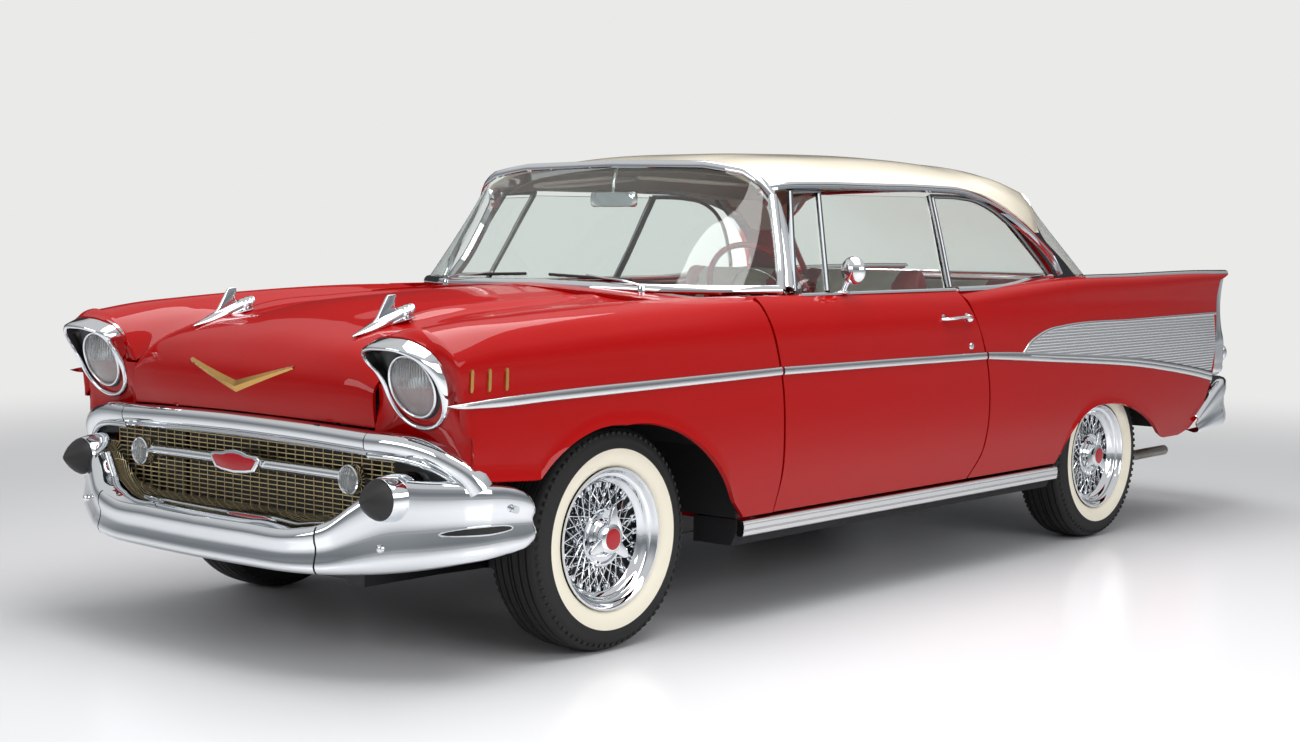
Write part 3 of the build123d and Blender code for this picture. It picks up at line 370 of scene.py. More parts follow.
def panelGrid(rows, lowLine, startLine, endLine, size, lip=0.0, clusterLow=1.0):
    # grid of a body panel: y runs between two upright edge lines, the section starts on the low line
    net, rowKnots, columnKnots = bodyNet(rows)
    count, across = size
    v = np.linspace(0, 1, across) ** clusterLow
    u = np.linspace(0, 1, count)
    top = columnKnots[-1]
    guess = readNet(net, rowKnots, columnKnots, np.full(across, rowKnots.mean()), v * top)[:, 2]
    y = np.zeros((count, across))
    section = np.broadcast_to(v * top, (count, across)).copy()
    height = np.broadcast_to(guess, (count, across)).copy()
    for _ in range(6):
        first, last = lineAt(startLine, height), lineAt(endLine, height)
        y = first + (last - first) * u[:, None]
        fine = np.linspace(0, top * 0.8, 240)
        heights = readNet(net, rowKnots, columnKnots, y[:, :1], fine[None, :])[..., 2]
        low = np.array([np.interp(lineAt(lowLine, y[i, 0]), heights[i], fine) for i in range(count)])
        section = low[:, None] + (top - low[:, None]) * v[None, :]
        height = readNet(net, rowKnots, columnKnots, y, section)[..., 2]
    grid = readNet(net, rowKnots, columnKnots, y, section)
    if lip:
        rise = np.linalg.norm(grid - grid[:, :1], axis=2)
        grid[..., 0] += lip * np.clip(1 - rise / 46, 0, 1) ** 2 * archShare(y[:, :1], lowLine)
    return grid


def archShare(y, lowLine):
    # 1 along the raised edge of a wheel arch, 0 along the rocker
    return np.clip((lineAt(lowLine, y) - 380) / 80, 0, 1)


# Body shell sections, one row for each y: the line from the rocker up to the inner edge of the top
fenderRows = [
    (-2440, [(852, 400), (858, 540), (860, 660), (858, 780), (848, 880), (806, 926), (722, 945), (622, 895),
             (574, 780)]),
    (-2340, [(872, 400), (880, 540), (882, 660), (876, 785), (864, 896), (822, 936), (726, 958), (622, 905),
             (574, 800)]),
    (-2200, [(884, 330), (894, 500), (894, 650), (890, 790), (876, 915), (838, 955), (738, 976), (640, 930),
             (592, 872)]),
    (-2000, [(886, 300), (901, 500), (904, 650), (898, 790), (884, 924), (848, 968), (747, 992), (665, 962),
             (614, 935)]),
    (-1700, [(888, 290), (908, 500), (910, 650), (904, 790), (889, 938), (855, 980), (766, 1008),
             (690, 986), (644, 966)]),
    (-1350, [(888, 290), (911, 500), (913, 650), (907, 790), (891, 945), (862, 988), (786, 1018),
             (712, 1002), (669, 986)]),
    (-1040, [(888, 290), (912, 500), (915, 650), (908, 790), (892, 950), (868, 996), (800, 1018),
             (735, 1012), (694, 1004)]),
    (-940, [(888, 290), (912, 500), (915, 650), (908, 790), (892, 950), (868, 996), (800, 1018),
            (735, 1012), (694, 1004)]),
]
doorRows = [
    (-1060, [(888, 330), (912, 500), (915, 650), (908, 790), (892, 950), (868, 1000), (850, 1018)]),
    (-500, [(888, 330), (912, 500), (915, 650), (908, 790), (892, 950), (868, 1000), (850, 1018)]),
    (262, [(888, 330), (912, 500), (915, 650), (908, 790), (892, 945), (868, 994), (850, 1018)]),
]
quarterRows = [
    (120, [(888, 330), (912, 500), (915, 650), (908, 790), (892, 945), (868, 994), (846, 1010), (800, 1016),
           (770, 1016)]),
    (560, [(888, 330), (912, 500), (914, 650), (908, 790), (892, 940), (866, 1020), (842, 1030),
           (800, 1024), (740, 1024)]),
    (900, [(886, 330), (911, 500), (913, 650), (906, 790), (890, 940), (865, 1040), (838, 1048),
           (798, 1036), (700, 1036)]),
    (1500, [(882, 330), (904, 500), (907, 650), (899, 790), (884, 940), (863, 1046), (836, 1054),
            (798, 1036), (690, 1036)]),
    (1730, [(876, 330), (900, 500), (903, 650), (895, 790), (880, 940), (862, 1048), (836, 1057),
            (795, 1004), (690, 1008)]),
    (2050, [(866, 330), (890, 500), (894, 650), (888, 790), (872, 940), (862, 1050), (837, 1060),
            (792, 946), (690, 948)]),
    (2355, [(850, 330), (872, 500), (878, 650), (874, 790), (864, 940), (858, 1048), (840, 1058),
            (790, 830), (690, 800)]),
]
roofRows = [
    (-745, [(628, 1366), (590, 1392), (500, 1424), (300, 1448), (0, 1454)]),
    (-550, [(655, 1380), (606, 1412), (500, 1450), (300, 1476), (0, 1483)]),
    (-100, [(668, 1386), (612, 1430), (500, 1470), (300, 1497), (0, 1504)]),
    (400, [(672, 1386), (612, 1430), (500, 1470), (300, 1498), (0, 1505)]),
]
trunkRows = [
    (1722, [(682, 1008), (400, 1010), (0, 1012)]),
    (1900, [(682, 982), (400, 988), (0, 990)]),
    (2100, [(682, 926), (400, 938), (0, 942)]),
    (2200, [(682, 870), (400, 886), (0, 892)]),
    (2262, [(682, 800), (400, 820), (0, 828)]),
]
doorFront = [(-985, 344), (-965, 440), (-960, 600), (-975, 800), (-1010, 920), (-1050, 1040)]
doorRear = [(150, 344), (220, 420), (245, 500), (255, 600), (250, 700), (230, 800), (175, 920), (110, 1040)]
frontArch = arcPoints((-2050, 545), (-1905, 645), (-1700, 672)) + arcPoints((-1700, 672), (-1385, 592),
    (-1200, 400))[1:]
rearArch = arcPoints((800, 344), (895, 474), (1122, 552)) + arcPoints((1122, 552), (1400, 516),
                                                                      (1655, 394))[1:]


def edgeByHeight(points, shift=0):
    # (y, z) edge line as (z, y) pairs in rising z, smoothed
    points = sorted((z, y + shift) for y, z in points)
    z = np.array([p[0] for p in points], float)
    y = np.array([p[1] for p in points], float)
    fine = np.linspace(z[0], z[-1], 60)
    return list(zip(fine, alongKnots(z, y, fine)))


# Painted body surfaces

# two-pack red enamel over primer, polished: a deep even red under a clear hard gloss
redEnamel, tree, shader = newMaterial("red enamel, polished", {"Base Color": hexColour("#a00605"),
                                                               "Roughness": 0.4, "Specular IOR Level": 0.02,
                                                               "Coat Weight": 0.5,
                    "Coat Roughness": 0.02, "Coat IOR": 1.5})
# ivory enamel of the roof: the same gloss on a warm white
ivoryEnamel, tree, shader = newMaterial("ivory enamel, polished", {"Base Color": hexColour("#efe6d2"),
                                                                   "Roughness": 0.4,
                                                                   "Specular IOR Level": 0.05,
                                                                   "Coat Weight": 1.0,
                    "Coat Roughness": 0.02, "Coat IOR": 1.5})
# bright nickel-chrome plate on buffed steel: a mirror, faintly blue
chromePlate, tree, shader = newMaterial("chrome plate, buffed", {"Base Color": hexColour("#dfe2e5"),
                                                                 "Metallic": 1.0, "Roughness": 0.035})
# rolled stainless mouldings: a softer mirror than plate
stainlessTrim, tree, shader = newMaterial("stainless steel moulding, rolled",
                                          {"Base Color": hexColour("#d4d5d6"), "Metallic": 1.0,
                                           "Roughness": 0.12})

fenderSpec = {"gap": 10, "skin": 14, "size": (150, 80), "archLip": 7}
fenderLow = [(-2300, 562), (-2200, 554), (-2050, 545)] + frontArch[1:] + [(-1150, 352), (-1148, 344),
    (-980, 344)]
fenderFrontEdge = [(540, -2284), (660, -2284), (700, -2290), (760, -2304), (880, -2336), (945, -2352),
                   (1030, -2372)]
fenderGrid = panelGrid(fenderRows, fenderLow, fenderFrontEdge,
                       edgeByHeight(doorFront, -fenderSpec["gap"]), fenderSpec["size"],
                       fenderSpec["archLip"],
                       clusterLow=1.25)
fenderLeft = skinPiece("front_fender_skin_left", fenderGrid, fenderSpec["skin"], redEnamel)
bothSides(fenderLeft, "body", "fender_left")

doorSpec = {"gap": 10, "skin": 14, "size": (90, 60)}
doorGrid = panelGrid(doorRows, [(-1100, 344), (300, 344)], edgeByHeight(doorFront), edgeByHeight(doorRear),
                     doorSpec["size"])
doorSkin = skinPiece("door_skin_left", doorGrid, doorSpec["skin"], redEnamel)
bothSides(doorSkin, "door_left")

quarterSpec = {"gap": 10, "skin": 14, "size": (170, 90), "archLip": 7}
quarterLow = [(120, 344), (796, 344)] + rearArch[1:] + [(1711, 372), (1855, 372), (1955, 394), (2044, 456),
                                                       (2100, 533), (2133, 589), (2167, 650), (2360, 660)]
quarterRear = [(330, 2020), (456, 2044), (533, 2100), (589, 2133), (650, 2167), (755, 2180), (866, 2205),
               (955, 2222), (1022, 2240), (1036, 2310), (1048, 2352), (1090, 2352)]
quarterGrid = panelGrid(quarterRows, quarterLow, edgeByHeight(doorRear, quarterSpec["gap"]), quarterRear,
                        quarterSpec["size"], quarterSpec["archLip"], clusterLow=1.15)
quarterLeft = skinPiece("quarter_panel_skin_left", quarterGrid, quarterSpec["skin"], redEnamel)
bothSides(quarterLeft, "body", "quarter_left")
print("stage: fenders, doors and quarter panels")

# Hood, roof, trunk lid and the panels round them

def widePanel(rows, centreSteps, lengthSteps):
    # rows of (x, y, z) from the edge to the centre line, read as one smooth panel over the whole width;
    # each spec's size is (steps across, steps along)
    half = np.array(rows, float)
    net = np.concatenate([half, half[:, ::-1][:, 1:] * [-1, 1, 1]], axis=1)
    rowSteps = np.linalg.norm(np.diff(net, axis=0), axis=2).mean(axis=1)
    rowKnots = np.concatenate([[0], np.cumsum(rowSteps)])
    columnKnots = chordKnots(net)
    u = np.linspace(0, rowKnots[-1], lengthSteps)[:, None]
    v = np.linspace(0, columnKnots[-1], centreSteps)[None, :]
    return readNet(net, rowKnots, columnKnots, u, v)


# Hood columns: edge at the gap, outer flat, foot of the windsplit, windsplit, inner foot, flat, centre
hoodSpec = {"skin": 12, "size": (150, 170)}
hoodRows = [
    [(556, -2336, 681), (500, -2342, 683), (420, -2350, 686), (370, -2354, 687), (310, -2358, 688),
     (180, -2364, 690), (0, -2368, 692)],
    [(556, -2343, 735), (500, -2351, 738), (420, -2361, 741), (370, -2365, 743), (310, -2368, 744),
     (180, -2373, 746), (0, -2377, 748)],
    [(557, -2341, 784), (500, -2350, 796), (420, -2359, 804), (370, -2362, 807), (310, -2365, 809),
     (180, -2368, 812), (0, -2371, 814)],
    [(560, -2312, 818), (500, -2320, 848), (420, -2325, 862), (370, -2327, 866), (310, -2327, 869),
     (180, -2325, 873), (0, -2325, 877)],
    [(574, -2200, 872), (500, -2200, 908), (420, -2200, 925), (370, -2200, 931), (310, -2200, 935),
     (180, -2200, 943), (0, -2200, 949)],
    [(586, -2100, 906), (500, -2100, 932), (420, -2100, 947), (370, -2100, 958), (314, -2100, 956),
     (184, -2100, 966), (0, -2100, 974)],
    [(596, -2000, 935), (500, -2000, 952), (420, -2000, 964), (372, -2000, 982), (318, -2000, 973),
     (190, -2000, 985), (0, -2000, 996)],
    [(626, -1700, 966), (520, -1700, 978), (424, -1700, 986), (376, -1700, 1005), (326, -1700, 993),
     (200, -1700, 1009), (0, -1700, 1022)],
    [(646, -1450, 978), (532, -1450, 990), (430, -1450, 1000), (379, -1450, 1015), (332, -1450, 1007),
     (204, -1450, 1021), (0, -1450, 1034)],
    [(657, -1278, 988), (540, -1278, 1000), (434, -1278, 1009), (382, -1278, 1018), (336, -1278, 1014),
     (206, -1278, 1027), (0, -1278, 1039)],
]
hoodGrid = widePanel(hoodRows, *hoodSpec["size"])
hoodSkin = skinPiece("hood_skin", hoodGrid, hoodSpec["skin"], redEnamel)
settle(hoodSkin, "hood", "hood")

roofSpec = {"skin": 14, "size": (120, 150)}
roofHalf = [[(x, y, z) for x, z in line] for y, line in roofRows]
roofHalf = [[row[0], ((row[0][0] + row[1][0]) / 2 + 12, row[0][1], (row[0][2] + row[1][2]) / 2 - 3),
             *row[1:]]
            for row in roofHalf]
# behind the doors the side comes down to the drip rail, and the rear edge runs forward at the sides
roofHalf += [
    [(677, 560, 1368), (655, 560, 1393), (611, 560, 1424), (500, 560, 1463), (300, 560, 1491),
     (0, 560, 1499)],
    [(684, 700, 1330), (662, 700, 1376), (610, 700, 1418), (500, 700, 1458), (300, 700, 1486),
     (0, 700, 1494)],
    [(688, 830, 1280), (662, 832, 1346), (604, 834, 1404), (495, 836, 1446), (300, 838, 1474),
     (0, 840, 1482)],
    [(672, 960, 1236), (650, 966, 1306), (592, 974, 1376), (484, 982, 1424), (300, 990, 1452),
     (0, 995, 1460)],
    [(640, 1062, 1218), (618, 1070, 1290), (564, 1084, 1362), (470, 1106, 1398), (300, 1122, 1417),
     (0, 1130, 1424)]]
roofGrid = widePanel(roofHalf, *roofSpec["size"])
roofSkin = skinPiece("roof_skin", roofGrid, roofSpec["skin"], ivoryEnamel)
# rear quarter pillars: plan outlines at each height, outer front, outer rear, inner rear, inner front
pillarRows = [
    (1036, [(770, 990), (712, 1262), (684, 1250), (742, 985)]),
    (1110, [(745, 940), (690, 1180), (662, 1168), (716, 938)]),
    (1209, [(712, 840), (655, 1062), (628, 1052), (684, 838)]),
    (1290, [(672, 700), (616, 1036), (594, 1022), (650, 698)]),
    (1350, [(656, 600), (606, 1000), (580, 990), (636, 598)]),
]
pillarRings = []
for z, ((ax, ay), (bx, by), (cx, cy), (dx, dy)) in pillarRows:
    ring = []
    for (px, py), (qx, qy), steps in (((ax, ay), (bx, by), 14), ((bx, by), (cx, cy), 3),
                                      ((cx, cy), (dx, dy), 14), ((dx, dy), (ax, ay), 3)):
        ring += [(px + (qx - px) * k / steps, py + (qy - py) * k / steps, z) for k in range(steps)]
    pillarRings.append(ring)
pillarLeft = ringPiece("rear_pillar_left", smoothRings(pillarRings, 40), ivoryEnamel)
# bright metal covers the foot of the pillar and a band beside the window
pillarLeft.data.materials.append(stainlessTrim)
bandEdge = np.array([(z, line[0][1]) for z, line in pillarRows], float)
for face in pillarLeft.data.polygons:
    y, z = face.center.y / mm, face.center.z / mm
    if z < 1226 or y < np.interp(z, *bandEdge.T) + 62:
        face.material_index = 1
settle(roofSkin, "body", "roof")
bothSides(pillarLeft, "body")

trunkSpec = {"skin": 12, "size": (90, 110)}
lidHalf = [[(x, y, z) for x, z in line] for y, line in trunkRows]
lidHalf = [[row[0], tuple((np.array(row[0]) + row[1]) / 2), *row[1:]] for row in lidHalf]
lidHalf += [[(640, 2284, 756), (520, 2286, 760), (400, 2288, 764), (0, 2290, 768)],
            [(640, 2290, 652), (520, 2291, 651), (400, 2292, 650), (0, 2293, 650)]]
lidGrid = widePanel(lidHalf, *trunkSpec["size"])
settle(skinPiece("trunk_lid_skin", lidGrid, trunkSpec["skin"], redEnamel), "trunk_lid",
       "trunk_lid")

deckSpec = {"skin": 10, "size": (60, 60)}
deckHalf = [[(697, y, z), (500, y, z + 1), (250, y, z + 2), (0, y, z + 3)]
            for y, z in ((985, 1036), (1300, 1036), (1560, 1034), (1660, 1023), (1712, 1010))]
settle(skinPiece("rear_deck_skin", widePanel(deckHalf, *deckSpec["size"]), deckSpec["skin"], redEnamel),
       "body")

cowlSpec = {"skin": 10, "size": (90, 50)}
cowlHalf = [[(690, y, 1002 + rise), (640, y, 1006 + rise), (380, y, 1024 + rise), (190, y, 1034 + rise),
             (0, y, 1040 + rise)]
            for y, rise in ((-1267, 0), (-1200, 3), (-1120, 4), (-1040, 2))]
settle(skinPiece("cowl_top_skin", widePanel(cowlHalf, *cowlSpec["size"]), cowlSpec["skin"], redEnamel),
       "body")
print("stage: hood, roof, trunk lid and cowl")


# Floor, lights and camera

# wallFade is in metres of height, floorFade in metres from the car's middle
sceneSpec = {"floorColour": "#e9eaec", "wallColour": "#eaeae9", "paintedReflectionColour": "#37393b",
             "wallFade": (0.0, 2.2),
             "floorFade": (3.2, 8.5), "imageWidth": 1300, "focalPixels": 1942,
             "cameraPlace": (4557, -5813, 1232),
             "azimuth": 40.92, "downward": 4.24, "roll": 0.51}
# sealed pale resin floor and painted backdrop, in one sweep: a soft broad sheen
sweepPaint, tree, shader = newMaterial("sealed studio floor, satin",
                                       {"Base Color": hexColour(sceneSpec["floorColour"]),
                                        "Roughness": 0.22, "IOR": 1.4})
# the wall and the far floor show one pale tone to the camera and through glass; reflections of the wall get
# a dark painted reflection tone instead of the pale wall
output = next(node for node in tree.nodes if node.type == "OUTPUT_MATERIAL")
rays = addNode(tree, "ShaderNodeLightPath")
place = addNode(tree, "ShaderNodeTexCoord")
upright = addNode(tree, "ShaderNodeSeparateXYZ", {}, {0: place.outputs["Object"]})
ground = addNode(tree, "ShaderNodeVectorMath", {"operation": "LENGTH"}, {0: place.outputs["Object"]})


def fade(span, source):
    # 0 to 1 as the source runs through a span
    settings = {"interpolation_type": "SMOOTHSTEP", "From Min": span[0], "From Max": span[1]}
    return addNode(tree, "ShaderNodeMapRange", settings, {"Value": source}).outputs[0]


def joinValues(operation, first, second):
    return addNode(tree, "ShaderNodeMath", {"operation": operation}, {0: first, 1: second}).outputs[0]


def blendTone(share, under, colour):
    tone = addNode(tree, "ShaderNodeEmission", {"Color": hexColour(colour), "Strength": 1.0})
    return addNode(tree, "ShaderNodeMixShader", {}, {0: share, 1: under, 2: tone.outputs[0]}).outputs[0]


seen = joinValues("MAXIMUM", rays.outputs["Is Camera Ray"], rays.outputs["Is Transmission Ray"])
above, distant = fade(sceneSpec["wallFade"], upright.outputs["Z"]), fade(sceneSpec["floorFade"],
    ground.outputs["Value"])
pale = joinValues("MULTIPLY", seen, joinValues("MAXIMUM", above, distant))
# painted reflection: glossy rays that meet the wall above the floor see a flat dark tone, not the pale wall
mirrored = joinValues("MULTIPLY", rays.outputs["Is Glossy Ray"], above)
paintedReflectionMix = blendTone(mirrored, shader.outputs[0], sceneSpec["paintedReflectionColour"])
tree.links.new(blendTone(pale, paintedReflectionMix, sceneSpec["wallColour"]), output.inputs["Surface"])
sweepBend = {"start": 15500, "radius": 4500, "height": 11000, "near": -24000, "half": 26000}
sweepLine = [(0, sweepBend["near"], 0)]
sweepLine += [(0, sweepBend["start"] + sweepBend["radius"] * sin(a), sweepBend["radius"] * (1 - cos(a)))
              for a in np.linspace(0, pi / 2, 58)]
sweepLine = np.array(sweepLine + [(0, sweepBend["start"] + sweepBend["radius"], sweepBend["height"])],
                     float)
spread = np.linspace(-sweepBend["half"], sweepBend["half"], 20)
sweepGrid = np.stack([np.stack([np.full(60, x), sweepLine[:, 1], sweepLine[:, 2]], axis=1) for x in spread],
                     axis=1)
turn = Matrix.Rotation(radians(sceneSpec["azimuth"]), 3, "Z")
sweepVerts = [turn @ Vector(p) for p in sweepGrid.reshape(-1, 3) * mm]
backdrop = makeObject("studio_sweep", sweepVerts, gridFaces(60, 20), sweepPaint)

world = bpy.context.scene.world or bpy.data.worlds.new("studio")
bpy.context.scene.world = world
world.use_nodes = True
tree = world.node_tree
background = tree.nodes["Background"]
where = addNode(tree, "ShaderNodeTexCoord")
split = addNode(tree, "ShaderNodeSeparateXYZ", {}, {0: where.outputs["Generated"]})
ramp = addNode(tree, "ShaderNodeValToRGB", {}, {0: split.outputs["Z"]})
stops = ramp.color_ramp.elements
stops[0].position, stops[0].color = 0.0, hexColour("#c9cccf")
stops[1].position, stops[1].color = 1.0, hexColour("#fafafa")
for place, colour in ((0.06, "#a9adb1"), (0.16, "#8f9398"), (0.34, "#b9bcc0"), (0.55, "#f4f4f4")):
    element = stops.new(place)
    element.color = hexColour(colour)
tree.links.new(ramp.outputs["Color"], background.inputs["Color"])
background.inputs["Strength"].default_value = 0.75


def softBox(name, place, target, size, power):
    light = bpy.data.lights.new(name, "AREA")
    light.shape, light.size, light.size_y, light.energy = "RECTANGLE", size[0], size[1], power
    obj = bpy.data.objects.new(name, light)
    bpy.context.scene.collection.objects.link(obj)
    obj.location = Vector(place)
    obj.rotation_euler = (Vector(target) - Vector(place)).to_track_quat("-Z", "Y").to_euler()


softBox("overhead soft box", (0.5, -0.5, 4.6), (0, 0, 0.5), (3.0, 6.5), 260)
softBox("side soft box", (6.5, -1.5, 2.6), (0.4, -0.2, 0.7), (5.5, 2.0), 120)
softBox("front soft box", (-1.5, -8.0, 3.0), (0, -2, 0.6), (4.0, 2.0), 90)

cameraData = bpy.data.cameras.new("camera")
camera = bpy.data.objects.new("camera", cameraData)
bpy.context.scene.collection.objects.link(camera)
cameraData.sensor_width = 36
cameraData.lens = sceneSpec["focalPixels"] / sceneSpec["imageWidth"] * cameraData.sensor_width
azimuth, down, roll = (radians(sceneSpec[name]) for name in ("azimuth", "downward", "roll"))
forward = Vector((-sin(azimuth) * cos(down), cos(azimuth) * cos(down), -sin(down)))
level = Vector((cos(azimuth), sin(azimuth), 0))
upright = level.cross(forward)
right = level * cos(roll) + upright * sin(roll)
top = upright * cos(roll) - level * sin(roll)
camera.matrix_world = Matrix((
    (right.x, top.x, -forward.x, sceneSpec["cameraPlace"][0] * mm),
    (right.y, top.y, -forward.y, sceneSpec["cameraPlace"][1] * mm),
    (right.z, top.z, -forward.z, sceneSpec["cameraPlace"][2] * mm),
    (0, 0, 0, 1)))
bpy.context.scene.camera = camera
bpy.context.scene.view_settings.view_transform = "Standard"
print("stage: studio and camera")


# Front end

# moulded black rubber: dull, slightly grey where it catches light
blackRubber, tree, shader = newMaterial("moulded black rubber", {"Base Color": hexColour("#1b1b1c"),
                                                                 "Roughness": 0.55, "IOR": 1.5})
# stoved black enamel: the dark backs of lamps and the grille
blackEnamel, tree, shader = newMaterial("stoved black enamel", {"Base Color": hexColour("#0c0c0d"),
                                                                "Roughness": 0.35, "IOR": 1.5})
# gold anodised aluminium: warm metal, satin from its brushed face
goldAnodised, tree, shader = newMaterial("gold anodised aluminium",
                                         {"Base Color": hexColour("#c69b5a"), "Metallic": 1.0,
                                          "Roughness": 0.27})
# pressed clear lamp glass: colourless, bright edges, flutes drawn in relief
flutedGlass, tree, shader = newMaterial("pressed lamp glass, fluted",
                                        {"Base Color": hexColour("#eef1f1"), "Roughness": 0.05, "IOR": 1.5,
                                         "Transmission Weight": 0.86})
fluteSpec = {"pitch": 8.5, "depth": 0.7}          # mm between flutes, and their relief
linkBump(tree, shader, ribs(tree, "X", fluteSpec["pitch"]).outputs["Fac"], fluteSpec["depth"] * mm)
# silvered bowl behind a lamp lens
silveredBowl, tree, shader = newMaterial("silvered lamp bowl", {"Base Color": hexColour("#eceef0"),
                                                                "Metallic": 1.0, "Roughness": 0.1})
# red vitreous enamel set in chrome badges
redInlay, tree, shader = newMaterial("red vitreous enamel inlay", {"Base Color": hexColour("#a8101c"),
                                                                   "Roughness": 0.12, "IOR": 1.5})

lampSpec = {"centre": (722, -2345, 806), "lean": 17.0, "lensRadius": 80, "lensRise": 20, "bowlDepth": 60}
lampBack = Vector((0, sin(radians(90 - lampSpec["lean"])), sin(radians(lampSpec["lean"]))))
lampUp = Vector((0, -sin(radians(lampSpec["lean"])), cos(radians(lampSpec["lean"]))))


def onLamp(a, b, forward):
    # place on the left lamp: a outwards, b up in its plane, forward out of it
    return Vector(lampSpec["centre"]) + Vector((a, 0, 0)) + lampUp * b - lampBack * forward


# rim outline round the lamp, clockwise from its lowest point: outwards, up, how far the hood stands forward
rimOutline = [(0, -121, 6), (62, -105, 6), (103, -62, 9), (117, -8, 16), (116, 46, 30), (98, 92, 50),
              (56, 122, 68),
              (-10, 131, 76), (-74, 124, 72), (-112, 104, 58), (-121, 78, 44), (-112, 44, 28),
              (-108, 6, 16),
              (-104, -40, 9), (-84, -84, 6), (-46, -112, 6)]
rimCurve = np.array(rimOutline + rimOutline[:1], float)
rimKnots = np.concatenate([[0], np.cumsum(np.linalg.norm(np.diff(rimCurve[:, :2], axis=0), axis=1))])
wrapKnots = np.concatenate([rimKnots[-3:-1] - rimKnots[-1], rimKnots, rimKnots[1:3] + rimKnots[-1]])
wrapCurve = np.concatenate([rimCurve[-3:-1], rimCurve, rimCurve[1:3]])
rimSmooth = alongKnots(wrapKnots, wrapCurve, np.linspace(0, rimKnots[-1], 121)[:-1])


def rimRing(grow, forward, share=1.0):
    # one closed line round the lamp: the outline grown sideways, moved forward from a share of its own hood
    ring = []
    for a, b, hood in rimSmooth:
        length = np.hypot(a, b)
        factor = (length + grow) / length
        ring.append(onLamp(a * factor, b * factor, hood * share + forward))
    return ring


def circleRing(radius, forward):
    # a circle with a point for each point of the outline
    return [onLamp(a / np.hypot(a, b) * radius, b / np.hypot(a, b) * radius, forward) for a, b,
            _ in rimSmooth]


rimProfile = [rimRing(9, -46, 0.62), rimRing(12, -30, 0.76), rimRing(9, -14, 0.94), rimRing(7, -6),
              rimRing(3, -1), rimRing(-1, 1), rimRing(-4.5, 0),
              rimRing(-7, -3), rimRing(-8, -9)]
headlampRim = ringPiece("headlamp_rim_left", rimProfile, chromePlate, caps=False, sharp=60)
recessRings = [rimRing(-7.9, -8), rimRing(-11, -30, 0.9)]
outer, inner = np.array(rimRing(-13, -14, 0.45)), np.array(circleRing(89, 0))
recessRings += [outer * (1 - k / 6) + inner * (k / 6) for k in range(1, 7)]
headlampRecess = ringPiece("headlamp_recess_left", recessRings, blackEnamel, caps=False)
ringRings = [circleRing(86 + 4.4 * cos(a), 5 + 5 * sin(a)) for a in np.linspace(0, 2 * pi, 13)]
lampRing = ringPiece("headlamp_ring_left", ringRings, chromePlate, caps=False)
lensRings = [circleRing(radius, 4 + lampSpec["lensRise"] * (1 - (radius / lampSpec["lensRadius"]) ** 2))
             for radius in np.linspace(lampSpec["lensRadius"] + 3, 1.5, 14)]
lensBack = [circleRing(radius, -1 + (lampSpec["lensRise"] - 1) * (1 - (radius
                                                                       / lampSpec["lensRadius"]) ** 2))
            for radius in np.linspace(1.5, lampSpec["lensRadius"] + 3, 14)]
lampLens = ringPiece("headlamp_lens_left", lensRings + lensBack, flutedGlass, caps=False)
bowlRings = [circleRing(max(radius, 1.5), -lampSpec["bowlDepth"] * (1 - (radius / 84) ** 2) - 2)
             for radius in np.linspace(84, 0, 16)]
lampBowl = ringPiece("headlamp_bowl_left", bowlRings, silveredBowl, caps=False)
shieldRings = [circleRing(radius, forward) for radius, forward in ((15, -30), (16, -14), (13, -8),
                                                                   (1.5, -6))]
lampShield = ringPiece("headlamp_bulb_shield_left", shieldRings, silveredBowl, caps=False)
for piece, slotName, node in ((headlampRim, "chrome", "headlight_bezels"),
                              (headlampRecess, "black_paint", None),
                              (lampRing, "chrome", None), (lampLens, "lamp_glass", "front_lamps"),
                              (lampBowl, "chrome", None), (lampShield, "chrome", None)):
    bothSides(piece, "body")
    if node:
        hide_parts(node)

# painted sheet that closes the fender's front edge down to the lamp rim
fenderEdge = fenderGrid[0][fenderGrid[0][:, 2] > 668]
fenderRun = fenderGrid[0] - fenderGrid[3]
fenderRun = (fenderRun / np.linalg.norm(fenderRun, axis=1, keepdims=True))[fenderGrid[0][:, 2] > 668]
podTarget = np.array(rimRing(10, -34, 0.7), float)
centreOf = np.array(lampSpec["centre"], float)


def lampAngle(points):
    across, rise = points[:, 0] - centreOf[0], (points - centreOf) @ np.array(lampUp)
    return np.arctan2(across, -rise) % (2 * pi)


order = np.argsort(lampAngle(podTarget))
targetAngles, targetPoints = lampAngle(podTarget)[order], podTarget[order]
targetAngles = np.concatenate([targetAngles - 2 * pi, targetAngles, targetAngles + 2 * pi])
targetPoints = np.concatenate([targetPoints] * 3)
edgeAngles = lampAngle(fenderEdge)
rimSpots = np.stack([np.interp(edgeAngles, targetAngles, targetPoints[:, k]) for k in range(3)], axis=1)
podRows = []
for t in np.linspace(0, 1, 14):
    reach = np.linalg.norm(rimSpots - fenderEdge, axis=1, keepdims=True)
    h1, h2, h3, h4 = 2 * t**3 - 3 * t * t + 1, t**3 - 2 * t * t + t, 3 * t * t - 2 * t**3, t**3 - t * t
    podRows.append(fenderEdge * h1 + fenderRun * reach * h2 * 1.3 + rimSpots * h3
                   + (rimSpots - fenderEdge) * h4 * 0.9)
lampPod = skinPiece("headlamp_pod_left", np.array(podRows), 5, redEnamel)
bothSides(lampPod, "body")

